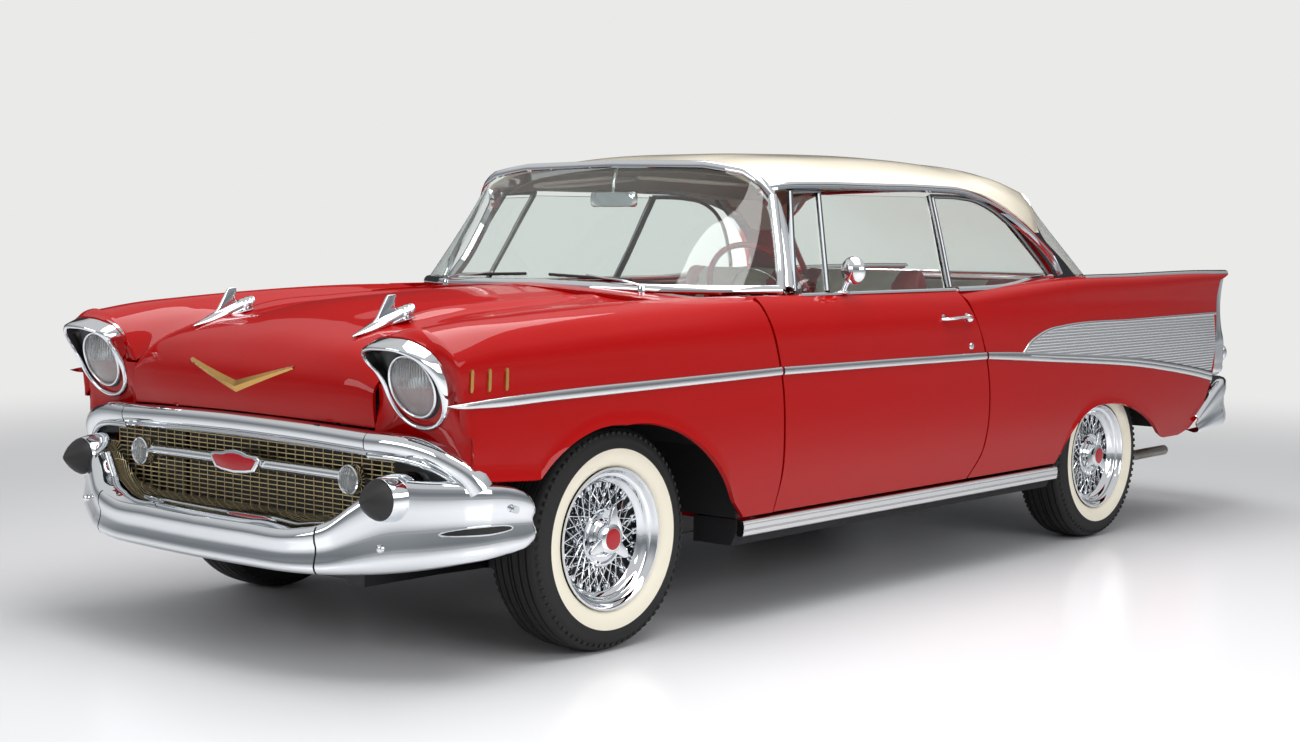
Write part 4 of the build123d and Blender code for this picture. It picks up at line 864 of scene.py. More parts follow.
# painted face under and beside the lamp, behind its rim
faceHalf = []
for z in np.linspace(596, 800, 12):
    lean = -0.3055 * max(0.0, z - 668)
    flange = 23 * min(1.0, max(0.0, (745 - z) / 60))
    tuck = 0.42 * max(0.0, z - 690)
    row = [(560, -2280, z), (560, -2306 - flange * 0.5 + lean * 0.5, z),
           (562, -2318 - flange + lean * 0.25, z),
           (574, -2314 - flange * 0.8 + lean * 0.5, z), (604, -2303 + lean, z), (700, -2298 + lean, z),
           (820 - tuck, -2298 + lean, z), (856 - tuck, -2297 + lean, z),
           (872 - tuck, -2292 + lean, z), (879 - tuck, -2282 + lean, z), (880.5 - tuck, -2270 + lean, z)]
    faceHalf.append(smoothPath(row, 40))
faceGrid = np.array(faceHalf)
lampFace = skinPiece("fender_front_face_left", faceGrid, 8, redEnamel, flip=True)
bothSides(lampFace, "body")

# chrome bar over the grille: a centre length and two ends that turn down to the bumper
headerPath = [(-560, -2357, 641), (-300, -2367, 650), (0, -2371, 654), (300, -2367, 650), (560, -2357, 641)]
headerEnd = [(562, -2357, 641), (640, -2349, 640), (715, -2337, 634), (780, -2321, 619), (836, -2300, 592),
             (872, -2274, 556), (884, -2262, 530)]
headerSection = [(-33, -26), (-35, -8), (-32, 8), (-24, 20), (-10, 27), (6, 26), (18, 20), (23, 13),
                 (27, 15), (33, 12), (36, 2), (36, -26), (24, -30), (-24, -30)]
headerBar = sweptPiece("grille_header_bar", headerPath, 60, headerSection, (0, -1, 0), chromePlate, 50)
endSection = [(s * 1.18 if s > 0 else s, f) for s, f in headerSection]
headerBarEnd = sweptPiece("grille_header_end_left", headerEnd, 44, endSection, (0.12, -1, 0), chromePlate,
                          50)
bothSides(headerBarEnd, "body")
settle(headerBar, "body", "grille_bars")

# egg-crate grille, lower bar with its plaque, and the parking lamps
meshSpec = {"left": -640, "right": 640, "low": 418, "high": 644, "stepAcross": 41, "stepUp": 13.6,
            "strip": 2.3,
            "depth": 6, "front": -2338}


def crateTree(material):
    tree = bpy.data.node_groups.new("egg crate", "GeometryNodeTree")
    tree.interface.new_socket("Geometry", in_out="OUTPUT", socket_type="NodeSocketGeometry")
    for name in ("Width", "Height", "Step across", "Step up", "Strip", "Depth"):
        tree.interface.new_socket(name, in_out="INPUT", socket_type="NodeSocketFloat")
    given = addNode(tree, "NodeGroupInput").outputs
    joined = addNode(tree, "GeometryNodeJoinGeometry")
    for across in (True, False):
        span, step = (given["Height"], given["Step up"]) if across else (given["Width"],
            given["Step across"])
        shareOf = addNode(tree, "ShaderNodeMath", {"operation": "DIVIDE"}, {0: span, 1: step})
        steps = addNode(tree, "ShaderNodeMath", {"operation": "FLOOR"}, {0: shareOf.outputs[0]})
        count = addNode(tree, "ShaderNodeMath", {"operation": "ADD", 1: 1.0}, {0: steps.outputs[0]})
        offset = addNode(tree, "ShaderNodeCombineXYZ", {}, {"Z" if across else "X": step})
        line = addNode(tree, "GeometryNodeMeshLine", {}, {"Count": count.outputs[0],
                                                          "Offset": offset.outputs[0]})
        half = addNode(tree, "ShaderNodeMath", {"operation": "MULTIPLY", 1: 0.5},
                       {0: given["Width"] if across else given["Height"]})
        size = addNode(tree, "ShaderNodeCombineXYZ", {}, {"X": given["Width"] if across else given["Strip"],
                                                          "Y": given["Depth"],
                                                          "Z": given["Strip"] if across
                                                          else given["Height"]})
        strip = addNode(tree, "GeometryNodeMeshCube", {}, {"Size": size.outputs[0]})
        move = addNode(tree, "ShaderNodeCombineXYZ", {}, {"X" if across else "Z": half.outputs[0]})
        shift = addNode(tree, "GeometryNodeTransform", {}, {"Geometry": strip.outputs["Mesh"],
                                                            "Translation": move.outputs[0]})
        placed = addNode(tree, "GeometryNodeInstanceOnPoints", {}, {"Points": line.outputs[0],
                                                                    "Instance": shift.outputs[0]})
        tree.links.new(placed.outputs[0], joined.inputs[0])
    real = addNode(tree, "GeometryNodeRealizeInstances", {}, {0: joined.outputs[0]})
    coated = addNode(tree, "GeometryNodeSetMaterial", {"Material": material}, {0: real.outputs[0]})
    addNode(tree, "NodeGroupOutput", {}, {0: coated.outputs[0]})
    return tree


def runTree(obj, tree, values):
    # one modifier with its named inputs, made into plain mesh
    modifier = obj.modifiers.new(tree.name, "NODES")
    modifier.node_group = tree
    identifiers = {item.name: item.identifier for item in tree.interface.items_tree
                   if item.in_out == "INPUT"}
    for name, value in values.items():
        modifier[identifiers[name]] = value
    return bakeModifiers(obj)


# champagne anodised strips, paler than the gold of the badges
paleAnodised, tree, shader = newMaterial("champagne anodised aluminium",
                                         {"Base Color": hexColour("#d6c192"), "Metallic": 1.0,
                                          "Roughness": 0.34})
crate = makeObject("grille_crate", [(0, 0, 0)], [], paleAnodised, smooth=False)
runTree(crate, crateTree(paleAnodised), {
    "Width": (meshSpec["right"] - meshSpec["left"]) * mm,
    "Height": (meshSpec["high"] - meshSpec["low"]) * mm,
    "Step across": meshSpec["stepAcross"] * mm, "Step up": meshSpec["stepUp"] * mm,
    "Strip": meshSpec["strip"] * mm, "Depth": meshSpec["depth"] * mm})
crate.data.transform(Matrix.Translation(Vector((meshSpec["left"], meshSpec["front"],
                                                meshSpec["low"])) * mm))
settle(crate, "body", "grille_mesh")


def boxPiece(name, low, high, material, bevel=0, segments=2):
    (x0, y0, z0), (x1, y1, z1) = low, high
    verts = [(x, y, z) for x in (x0, x1) for y in (y0, y1) for z in (z0, z1)]
    faces = [(0, 1, 3, 2), (4, 6, 7, 5), (0, 4, 5, 1), (2, 3, 7, 6), (0, 2, 6, 4), (1, 5, 7, 3)]
    obj = makeObject(name, np.array(verts, float) * mm, faces, material)
    if bevel:
        roundEdges(obj, bevel, segments, 30)
    return tidyMesh(obj)


def prismPiece(name, outline, near, far, material, axis="X", bevel=0, segments=2):
    # outline in the two other axes, carried from near to far along one
    def place(p, q, r):
        return {"X": (r, p, q), "Y": (p, r, q), "Z": (p, q, r)}[axis]
    rings = [[place(p, q, r) for p, q in outline] for r in (near, far)]
    obj = ringPiece(name, rings, material)
    if bevel:
        roundEdges(obj, bevel, segments, 30)
        tidyMesh(obj)
    return obj


baffle = boxPiece("grille_baffle", (-830, -2300, 366), (830, -2294, 600), blackEnamel)
settle(baffle, "body")
barPath = [(-487, -2350, 540), (-240, -2360, 543), (0, -2364, 544), (240, -2360, 543), (487, -2350, 540)]
barSection = [(-17, -12), (-17, 0), (-12, 9), (-3, 13), (6, 11), (14, 4), (17, -12)]
lowerBar = sweptPiece("grille_centre_bar", barPath, 40, barSection, (0, -1, 0), chromePlate, 50)
settle(lowerBar, "body")
plaqueOutline = [(-118, 560), (-104, 568), (-60, 570), (-34, 578), (0, 581), (34, 578), (60, 570),
                 (104, 568), (118, 560),
                 (106, 540), (92, 522), (60, 516), (0, 511), (-60, 516), (-92, 522), (-106, 540)]
plaque = prismPiece("grille_plaque", plaqueOutline, -2388, -2372, chromePlate, "Y", bevel=4, segments=3)
inlay = prismPiece("grille_plaque_inlay", [(x * 0.86, 544 + (z - 544) * 0.72) for x, z in plaqueOutline],
                   -2390.5, -2386, redInlay, "Y", bevel=1.2)
settle(plaque, "body")
settle(inlay, "body")
parkCentre = (487, -2368, 536)
parkRing = turned("parking_lamp_ring_left", [(26, 33), (20, 41), (2, 43), (-5, 42), (-8, 39), (-5, 36),
                                             (0, 35)], chromePlate, parkCentre, "Y", 64)
parkLens = turned("parking_lamp_lens_left", [(2, 35.5), (-5, 35), (-10, 29), (-14, 18), (-15.5, 1),
                                             (-12, 1), (-10, 18), (-5, 29), (1, 33)], flutedGlass,
                  parkCentre, "Y", 64)
parkBowl = turned("parking_lamp_bowl_left", [(0, 35), (10, 31), (17, 22), (20, 8), (21, 1), (23, 1),
                                             (22, 22), (12, 35)], silveredBowl, parkCentre, "Y", 48)
for piece, slotName in ((parkRing, "chrome"), (parkLens, "lamp_glass"), (parkBowl, "chrome")):
    bothSides(piece, "body")
print("stage: lamps and grille")

# Front bumper: stations give the face in plan and its lower and upper edges
bumperStations = [(0, -2540, 285, 408), (230, -2536, 286, 409), (420, -2524, 288, 412),
                  (530, -2500, 292, 436), (620, -2462, 298, 500), (700, -2424, 306, 552),
                  (800, -2366, 322, 558), (868, -2300, 336, 557), (896, -2240, 342, 552),
                  (903, -2170, 348, 543), (905, -2100, 357, 522), (902, -2074, 366, 508),
                  (893, -2058, 384, 488)]
# section: how far out of the face, share of the height, and an extra rise
bumperSection = [(-64, 1, -8), (-40, 1, -2), (-26, 1, 0), (-14, 1, -2), (-5, 1, -9), (0, 1, -20),
                 (2, 0.78, 0), (0, 0.66, 0),
                 (-6, 0.55, 0), (-5, 0.42, 0), (1, 0.28, 0), (4, 0.18, 0), (1, 0.1, 0), (-7, 0.03, 0),
                 (-20, 0, 0), (-42, 0, 2), (-62, 0, 10)]


def bladePiece(name, stations, section, count, material, outSign, wall=5.0):
    # a pressed bumper blade: a section carried along stations, with its own sheet thickness
    rows = smoothPath(stations, count)
    run = np.gradient(rows[:, :2], axis=0)
    run /= np.linalg.norm(run, axis=1, keepdims=True)
    out = np.stack([run[:, 1], -run[:, 0]], axis=1) * outSign
    rings = []
    for (x, y, low, high), (ox, oy) in zip(rows, out):
        face = [(x + ox * d, y + oy * d, low + (high - low) * share + rise) for d, share, rise in section]
        middle = (low + high) / 2
        back = [(x + ox * (d - wall), y + oy * (d - wall),
                 middle + (low + (high - low) * share + rise - middle) * 0.94)
                for d, share, rise in section[::-1]]
        rings.append(face + back)
    return ringPiece(name, rings, material, sharp=60)


seam = 505
rowsAll = smoothPath(bumperStations, 200)
cut = int(np.argmin(abs(rowsAll[:, 0] - seam)))
centreRows = [(-x, y, low, high) for x, y, low,
              high in rowsAll[cut:0:-6]] + [tuple(row)
                                            for row in rowsAll[0:cut + 1:6]] + [tuple(rowsAll[cut])]
centreRows = sorted({round(row[0], 3): row for row in centreRows}.values(), key=lambda row: row[0])
bumperCentre = bladePiece("front_bumper_centre", centreRows, bumperSection, 90, chromePlate, 1)
wingRows = [tuple(row) for row in rowsAll[cut + 1::6]] + [tuple(rowsAll[-1])]
bumperWing = bladePiece("front_bumper_wing_left", wingRows, bumperSection, 110, chromePlate, 1)
settle(bumperCentre, "body", "front_bumper")
bothSides(bumperWing, "body")
# chrome shelf from the blade back to the foot of the grille
shelfRows = []
for x, y, low, high in [row for row in rowsAll[::5] if row[0] < 640]:
    back = -2344 + 8 * (x / 640) ** 2
    reach = back - y
    shelfRows.append([(x, y + 14, high - 4), (x, y + reach * 0.2, high + 6),
                      (x, y + reach * 0.42, high + 17),
                      (x, y + reach * 0.66, high + 21), (x, y + reach * 0.86, high + 14),
                      (x, back, high - 2)])
shelfHalf = np.array(shelfRows, float)
shelfNet = np.concatenate([shelfHalf[:0:-1] * [-1, 1, 1], shelfHalf], axis=0)
shelfKnots = np.concatenate([[0], np.cumsum(np.linalg.norm(np.diff(shelfNet[:, 0], axis=0), axis=1))])
shelfAcross = chordKnots(shelfNet)
shelfGrid = readNet(shelfNet, shelfKnots, shelfAcross, np.linspace(0, shelfKnots[-1], 120)[:, None],
                    np.linspace(0, shelfAcross[-1], 16)[None, :])
settle(skinPiece("bumper_shelf", shelfGrid, 3, chromePlate, flip=True), "body")
collar = turned("bumper_collar_left", [(200, 46), (160, 62), (110, 67), (70, 68), (36, 65), (16, 61),
                                       (2, 58.5), (-1, 57), (-2, 54)], chromePlate,
                (694, -2440, 508), "Y", 72)
bullet = turned("bumper_bullet_left", [(4, 56), (-3, 56.5), (-8, 55.5), (-22, 48), (-38, 36), (-52, 22),
                                       (-62, 10.5), (-66, 5), (-67, 0.6)], blackRubber,
                (694, -2440, 508), "Y", 72)
bothSides(collar, "body")
bothSides(bullet, "body")
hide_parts("bumper_bullets")


def onBlade(y, share, lift):
    i = int(np.argmin(abs(rowsAll[:, 1] - y) + (rowsAll[:, 0] < 640) * 1e4))
    step = rowsAll[min(i + 1, len(rowsAll) - 1), :2] - rowsAll[i - 1, :2]
    step /= np.linalg.norm(step)
    x, y, low, high = rowsAll[i]
    return np.array([x + step[1] * lift, y - step[0] * lift, low + (high - low) * share])


# lozenge recess and bolt heads on the wings of the bumper
recessSpec = {"start": -2345, "length": 190, "half": 9, "share": 0.40, "sink": 8}
recessParts = []
for grow, lift, material in ((4.0, 1.0, chromePlate), (0.0, 2.4, blackEnamel)):
    rings = []
    for t in np.linspace(0, 1, 30):
        half = (recessSpec["half"] + grow) * sin(pi * t) ** 0.45 + 0.4
        y = recessSpec["start"] + grow * -1.5 + t * (recessSpec["length"] + 3 * grow)
        centre = onBlade(y, recessSpec["share"], lift)
        under = onBlade(y, recessSpec["share"], lift - recessSpec["sink"])
        rings.append([centre + [0, 0, half], centre + [0, 0, -half], under + [0, 0, -half],
                      under + [0, 0, half]])
    recessParts.append(ringPiece("recess", smoothRings(rings, 60), material, sharp=30))
for y, share in ((-2432, 0.3), (-2150, 0.66)):
    spot = onBlade(y, share, 4.5)
    recessParts.append(turned("bolt", [(8, 11), (-1, 11), (-4, 8), (-6, 3), (-6.2, 0.5)], chromePlate, spot,
                              "Y" if y < -2300 else "X", 24))
wingFittings = tidyMesh(joinObjects(recessParts, "bumper_wing_fittings_left"), 40)
bothSides(wingFittings, "body")
print("stage: front bumper")


# Wheels

# cross-ply tyre rubber: dull black, faintly brown where the sidewall flexes
tyreRubber, tree, shader = newMaterial("cross-ply tyre rubber", {"Base Color": hexColour("#111112"),
                                                                 "Roughness": 0.7, "IOR": 1.5})
# white sidewall rubber: warm white, buffed and slightly glossy
whiteRubber, tree, shader = newMaterial("white sidewall rubber", {"Base Color": hexColour("#ece5d2"),
                                                                  "Roughness": 0.42, "IOR": 1.5})
wheelSpec = {"across": 738, "height": 330, "frontAxle": -1672, "rearAxle": 1249, "whiteInner": 208,
             "whiteOuter": 264,
             "whiteFrom": 60, "spokes": 24, "spokeRadius": 1.9, "spokeEnd": 16, "treadBlocks": 78,
             "blockTaper": 10}
# half profile of the tyre from its bead outwards: across from the middle of the wheel, radius
tyreProfile = [(62, 205), (74, 206), (84, 212), (92, 222), (98, 236), (100.5, 250), (100, 264), (97.5, 276),
               (95, 284),
               (95.5, 290), (93.5, 296), (90, 306), (84, 316), (78, 321.5), (70, 325.5), (64, 327),
               (63, 321), (59, 321), (58, 328),
               (38, 329.4), (37, 323), (32, 323), (31, 329.6), (10, 330), (9, 323.5), (4, 323.5), (3, 330)]
tyreProfile += [(-x, r) for x, r in tyreProfile[::-1]]
tyreProfile += [(-56, 212), (-30, 216), (0, 217), (30, 216), (56, 212)]


def turnedLoop(name, profile, material, steps=120, sharp=30):
    # closed section of (across, radius) points turned about the wheel's axle
    rings = []
    for k in range(steps):
        a = 2 * pi * k / steps
        rings.append([(x, r * cos(a), r * sin(a)) for x, r in profile])
    rings.append(rings[0])
    return ringPiece(name, rings, material, caps=False, sharp=sharp)


def ringTree(name, material):
    # copies of the given mesh turned about the axle
    tree = bpy.data.node_groups.new(name, "GeometryNodeTree")
    tree.interface.new_socket("Geometry", in_out="INPUT", socket_type="NodeSocketGeometry")
    tree.interface.new_socket("Count", in_out="INPUT", socket_type="NodeSocketInt")
    tree.interface.new_socket("Geometry", in_out="OUTPUT", socket_type="NodeSocketGeometry")
    given = addNode(tree, "NodeGroupInput").outputs
    points = addNode(tree, "GeometryNodeMeshLine", {"Offset": (0, 0, 0)}, {"Count": given["Count"]})
    index = addNode(tree, "GeometryNodeInputIndex")
    share = addNode(tree, "ShaderNodeMath", {"operation": "DIVIDE"},
                    {0: index.outputs[0], 1: given["Count"]})
    angle = addNode(tree, "ShaderNodeMath", {"operation": "MULTIPLY", 1: 2 * pi}, {0: share.outputs[0]})
    turnBy = addNode(tree, "ShaderNodeCombineXYZ", {}, {"X": angle.outputs[0]})
    copies = addNode(tree, "GeometryNodeInstanceOnPoints", {}, {"Points": points.outputs[0],
                                                                "Instance": given["Geometry"],
                                                                "Rotation": turnBy.outputs[0]})
    real = addNode(tree, "GeometryNodeRealizeInstances", {}, {0: copies.outputs[0]})
    coated = addNode(tree, "GeometryNodeSetMaterial", {"Material": material}, {0: real.outputs[0]})
    addNode(tree, "NodeGroupOutput", {}, {0: coated.outputs[0]})
    return tree


def rodMesh(start, end, radius, sides=6):
    start, end = np.array(start, float), np.array(end, float)
    run = (end - start) / np.linalg.norm(end - start)
    side = np.cross(run, [1, 0, 0] if abs(run[0]) < 0.8 else [0, 1, 0])
    side /= np.linalg.norm(side)
    up = np.cross(run, side)
    offsets = [side * cos(2 * pi * k / sides) * radius + up * sin(2 * pi * k / sides) * radius
               for k in range(sides)]
    verts = [start + o for o in offsets] + [end + o for o in offsets]
    faces = [(k, (k + 1) % sides, (k + 1) % sides + sides, k + sides) for k in range(sides)]
    return verts, faces


def rodsPiece(name, rods, material, sides=6):
    verts, faces = [], []
    for start, end, radius in rods:
        more, sheets = rodMesh(start, end, radius, sides)
        faces += [tuple(i + len(verts) for i in face) for face in sheets]
        faces += [tuple(range(len(verts), len(verts) + sides))[::-1],
                  tuple(range(len(verts) + sides, len(verts) + 2 * sides))]
        verts += more
    return tidyMesh(makeObject(name, np.array(verts) * mm, faces, material))


tyre = turnedLoop("tyre", tyreProfile, tyreRubber, steps=128)
tyre.data.materials.append(whiteRubber)
for face in tyre.data.polygons:
    radius = np.hypot(face.center.y, face.center.z) / mm
    isOuter = face.center.x > wheelSpec["whiteFrom"] * mm
    if isOuter and wheelSpec["whiteInner"] < radius < wheelSpec["whiteOuter"]:
        face.material_index = 1
# shoulder blocks of the tread, in one ring of short bars
block = boxPiece("tread_blocks", (70, -8.6, 314), (93, 2.4, 322), tyreRubber)
for vertex in block.data.vertices:
    if vertex.co.x > 0.09:
        vertex.co.z -= wheelSpec["blockTaper"] * mm
runTree(block, ringTree("tread ring", tyreRubber), {"Count": wheelSpec["treadBlocks"]})
otherBlock = mirroredCopy(block, "tread_blocks_inner")
tyre = joinObjects([tyre, block, otherBlock], "tyre")

rimBand = turnedLoop("rim", [(84, 205.5), (88, 209), (91, 208), (91, 203), (87, 199), (79, 196), (73, 191),
                             (71, 184), (67, 180), (60, 178),
                             (53, 172), (48, 164), (43, 161), (-6, 161), (-30, 176), (-60, 184), (-76, 196),
                             (-88, 200), (-90, 206),
                             (-86, 206), (-74, 201), (-60, 190), (-30, 183), (-8, 167), (40, 167),
                             (46, 174), (56, 184), (64, 187),
                             (67, 194), (74, 202)], chromePlate, steps=96, sharp=40)
hub = turned("hub", [(-56, 60), (-20, 66), (0, 66), (30, 60), (42, 72), (48, 82), (54, 85), (58, 82),
                     (58, 76), (54, 70), (54, 58), (60, 52),
                     (66, 54), (72, 48), (82, 46), (90, 43), (94, 36), (95, 32)], chromePlate, (0, 0, 0),
             "X", 64)
badge = turned("hub_badge", [(92, 32), (95.6, 31), (96.4, 27), (97, 14), (97.2, 1)], redInlay, (0, 0, 0),
               "X", 48)
backDrum = turned("brake_drum_face", [(-64, 150), (-60, 156), (-20, 158), (-14, 154), (-12, 90), (-12, 40)],
                  blackEnamel, (0, 0, 0), "X", 48)
ears = []
for a in (radians(80), radians(-40), radians(200)):
    outline = [(r * cos(a) - w * sin(a), r * sin(a) + w * cos(a))
               for r, w in ((36, -21), (62, -16), (86, -10), (94, -2), (94, 4), (86, 11), (62, 15),
                            (36, 21))]
    ears.append(prismPiece("spinner_ear", outline, 78, 89, chromePlate, "X", bevel=4, segments=3))
pitch = 2 * pi / wheelSpec["spokes"]
spokeRows = [(46, 78, 36, 163, 1.9), (4, 65, 6, 163, 2.4)]
spokeSets = []
for hubAcross, hubRadius, rimAcross, rimRadius, lean in spokeRows:
    for sign in (1, -1):
        a, b = 0.25 * pitch * sign, pitch * lean * sign
        spokeSets.append(((hubAcross, hubRadius * cos(a), hubRadius * sin(a)),
                          (rimAcross, rimRadius * cos(a + b), rimRadius * sin(a + b)),
                          wheelSpec["spokeRadius"]))
        spokeSets.append(((rimAcross - 1, (rimRadius - wheelSpec["spokeEnd"]) * cos(a + b),
                           (rimRadius - wheelSpec["spokeEnd"]) * sin(a + b)),
                          (rimAcross, rimRadius * cos(a + b), rimRadius * sin(a + b)),
                          wheelSpec["spokeRadius"] * 1.9))
spokes = rodsPiece("spokes", spokeSets, chromePlate)
runTree(spokes, ringTree("spoke ring", chromePlate), {"Count": wheelSpec["spokes"]})
wheelBright = joinObjects([rimBand, hub, *ears, spokes, badge, backDrum], "wheel")

for corner, y, side in (("front_left", wheelSpec["frontAxle"], 1), ("front_right", wheelSpec["frontAxle"],
                                                                    -1),
                        ("rear_left", wheelSpec["rearAxle"], 1), ("rear_right", wheelSpec["rearAxle"], -1)):
    for source, name, slotName in ((tyre, "whitewall_tyre_", "tyre_rubber"),
                                   (wheelBright, "wire_wheel_", "chrome")):
        twin = bpy.data.objects.new(name + corner, source.data.copy())
        bpy.context.scene.collection.objects.link(twin)
        if side < 0:
            twin.data.transform(Matrix.Rotation(pi, 4, "Z"))
        twin.data.transform(Matrix.Translation(Vector((side * wheelSpec["across"], y,
                                                       wheelSpec["height"])) * mm))
        tidyMesh(twin, 30)
        settle(twin, "wheel_" + corner, ("tyre_" if source is tyre else "wheel_") + corner)
bpy.data.objects.remove(tyre)
bpy.data.objects.remove(wheelBright)
print("stage: wheels")


# Bright trim along the sides

def onSide(rows, y, z, out=0.0):
    # points of the left body side at paired y and z, moved out along the surface normal
    net, rowKnots, columnKnots = bodyNet(rows)
    y, z, out = (np.broadcast_to(np.asarray(item, float), np.broadcast(y, z, out).shape) for item in (y, z,
        out))
    flatY, flatZ = y.ravel(), z.ravel()
    fine = np.linspace(0, columnKnots[-1] * 0.82, 200)
    heights = readNet(net, rowKnots, columnKnots, flatY[:, None], fine[None, :])[..., 2]
    v = np.array([np.interp(height, line[:np.argmax(line) + 1], fine[:np.argmax(line) + 1]) for height,
                  line in zip(flatZ, heights)])
    here = readNet(net, rowKnots, columnKnots, flatY, v)
    ahead = readNet(net, rowKnots, columnKnots, flatY + 4, v)
    above = readNet(net, rowKnots, columnKnots, flatY, v + 4)
    normal = np.cross(ahead - here, above - here)
    normal /= np.linalg.norm(normal, axis=1, keepdims=True)
    normal *= np.sign(normal[:, :1])
    return (here + normal * out.ravel()[:, None]).reshape(*y.shape, 3)


# share of the moulding's height, and how far it stands out
mouldingSection = [(0.0, -1), (0.0, 3), (0.1, 6.5), (0.28, 8.5), (0.46, 8.8), (0.52, 6.6), (0.58, 8.6),
                   (0.8, 8), (0.94, 5.5), (1.0, 2), (1.0, -1)]


def sideMoulding(name, rows, lower, upper, count):
    # a moulding between two (y, z) lines on the side of the body
    lower, upper = np.asarray(lower, float), np.asarray(upper, float)
    y = np.linspace(lower[0, 0], lower[-1, 0], count)
    low = alongKnots(lower[:, 0], lower[:, 1], y)
    high = alongKnots(upper[:, 0], upper[:, 1], y)
    shares, outs = np.array(mouldingSection, float).T
    thin = np.clip((high - low) / 16, 0.15, 1)
    grid = onSide(rows, y[:, None], low[:, None] + (high - low)[:, None] * shares[None, :],
                  outs[None, :] * thin[:, None])
    return ringPiece(name, grid, stainlessTrim, sharp=50)


fenderSpearLow = [(-2366, 762), (-2340, 755), (-2260, 751), (-2000, 756), (-1500, 765), (-981, 774)]
fenderSpearHigh = [(-2366, 763), (-2340, 766), (-2260, 773), (-2000, 785), (-1500, 794), (-981, 801)]
bothSides(sideMoulding("fender_spear_left", fenderRows, fenderSpearLow, fenderSpearHigh, 120), "body")
doorSpearLow, doorSpearHigh = [(-969, 774), (-400, 772), (234, 768)], [(-969, 801), (-400, 799), (234, 795)]
bothSides(sideMoulding("door_spear_left", doorRows, doorSpearLow, doorSpearHigh, 80), "door_left")
quarterLowEdge = [(246, 768), (400, 758), (700, 737), (1000, 717), (1400, 686), (1733, 648), (2000, 611),
                  (2128, 590)]
quarterLowTop = [(246, 795), (400, 789), (700, 771), (1000, 752), (1400, 723), (1733, 687), (2000, 652),
                 (2128, 632)]
bothSides(sideMoulding("quarter_spear_left", quarterRows, quarterLowEdge, quarterLowTop, 150), "body")
insertTopLow = [(496, 772), (540, 800), (600, 826), (689, 850), (800, 860), (1400, 868), (2190, 873)]
insertTopHigh = [(496, 784), (540, 818), (600, 842), (689, 864), (800, 874), (1400, 881), (2190, 886)]
upperMoulding = sideMoulding("quarter_upper_moulding_left", quarterRows, insertTopLow, insertTopHigh, 120)
bothSides(upperMoulding, "body")
# ribbed anodised sheet between the two quarter mouldings: fine bright lines that run to the tail
ribbedSheet, tree, shader = newMaterial("anodised aluminium sheet, ribbed",
                                        {"Base Color": hexColour("#d9dadb"), "Metallic": 1.0,
                                         "Roughness": 0.3})
# in mm; the ribs are drawn about twice as coarse as the real sheet, to show
insertSpec = {"ribPitch": 11.0, "ribDepth": 1.6}
linkBump(tree, shader, ribs(tree, "Z", insertSpec["ribPitch"]).outputs["Fac"], insertSpec["ribDepth"] * mm)
insertY = np.concatenate([np.linspace(520, 800, 40), np.linspace(810, 2172, 80)])
insertLow = alongKnots(*np.array(quarterLowTop, float).T, insertY) - 2
insertHigh = np.maximum(alongKnots(*np.array(insertTopLow, float).T, insertY) + 2, insertLow + 2)
insertLow = np.where(insertY > 2128, np.interp(insertY, [2128, 2172], [631, 735]), insertLow)
shares = np.linspace(0, 1, 14)
insertGrid = onSide(quarterRows, insertY[:, None], insertLow[:, None] + (insertHigh - insertLow)[:,
    None] * shares[None, :], 1.6)
insertSheet = skinPiece("quarter_insert_left", insertGrid, 2, ribbedSheet, flip=True)
bothSides(insertSheet, "body")
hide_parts("body_trims")

rockerSection = [(282, 872), (282, 890), (286, 896), (298, 900), (302, 897), (306, 900), (318, 900.5),
                 (322, 897.5), (326, 899), (332, 894), (335, 886), (335, 872)]
rockerRings = [[(x, y, z) for z, x in rockerSection] for y in np.linspace(-1146, 792, 12)]
rocker = ringPiece("rocker_moulding_left", rockerRings, stainlessTrim, sharp=30)
bothSides(rocker, "body")

# fin cap: along the top of the fin and down its rear edge
finRows, finKnots, finAcross = bodyNet(quarterRows)
capY = np.linspace(1060, 2344, 60)
finTopPoints = readNet(finRows, finKnots, finAcross, capY, np.full(60, finAcross[6]))
capPath = [tuple(p + [0, 0, 1]) for p in finTopPoints]
capSection = [(-19, -9), (-19, -1), (-14, 4), (-5, 6.5), (5, 6.5), (14, 4), (19, -1), (19, -9)]
finCap = ringPiece("fin_cap_left", sweepRings(capPath, capSection, (0, 0, 1)), stainlessTrim)
bothSides(finCap, "body")

# belt moulding on the door, and the dip of the quarter belt up to the rear pillar
doorBelt = [(847, -800, 1019), (849, -400, 1020), (849, 0, 1020), (848, 118, 1020)]
beltSection = [(-7, -3), (-7, 3), (-3, 6), (3, 6), (7, 3), (7, -3)]
bothSides(sweptPiece("door_belt_left", doorBelt, 40, beltSection, (0, 0, 1), chromePlate), "door_left")
quarterBelt = [(845, 134, 1020), (841, 300, 1021), (831, 470, 1023), (811, 620, 1033), (785, 760, 1045),
               (763, 880, 1051),
               (757, 960, 1053)]
quarterBeltSection = [(-12, -6), (-12, 4), (-5, 9), (5, 9), (12, 4), (12, -6)]
bothSides(sweptPiece("quarter_belt_left", quarterBelt, 60, quarterBeltSection, (0, 0, 1), chromePlate),
          "body")
print("stage: side trim")


# Windows

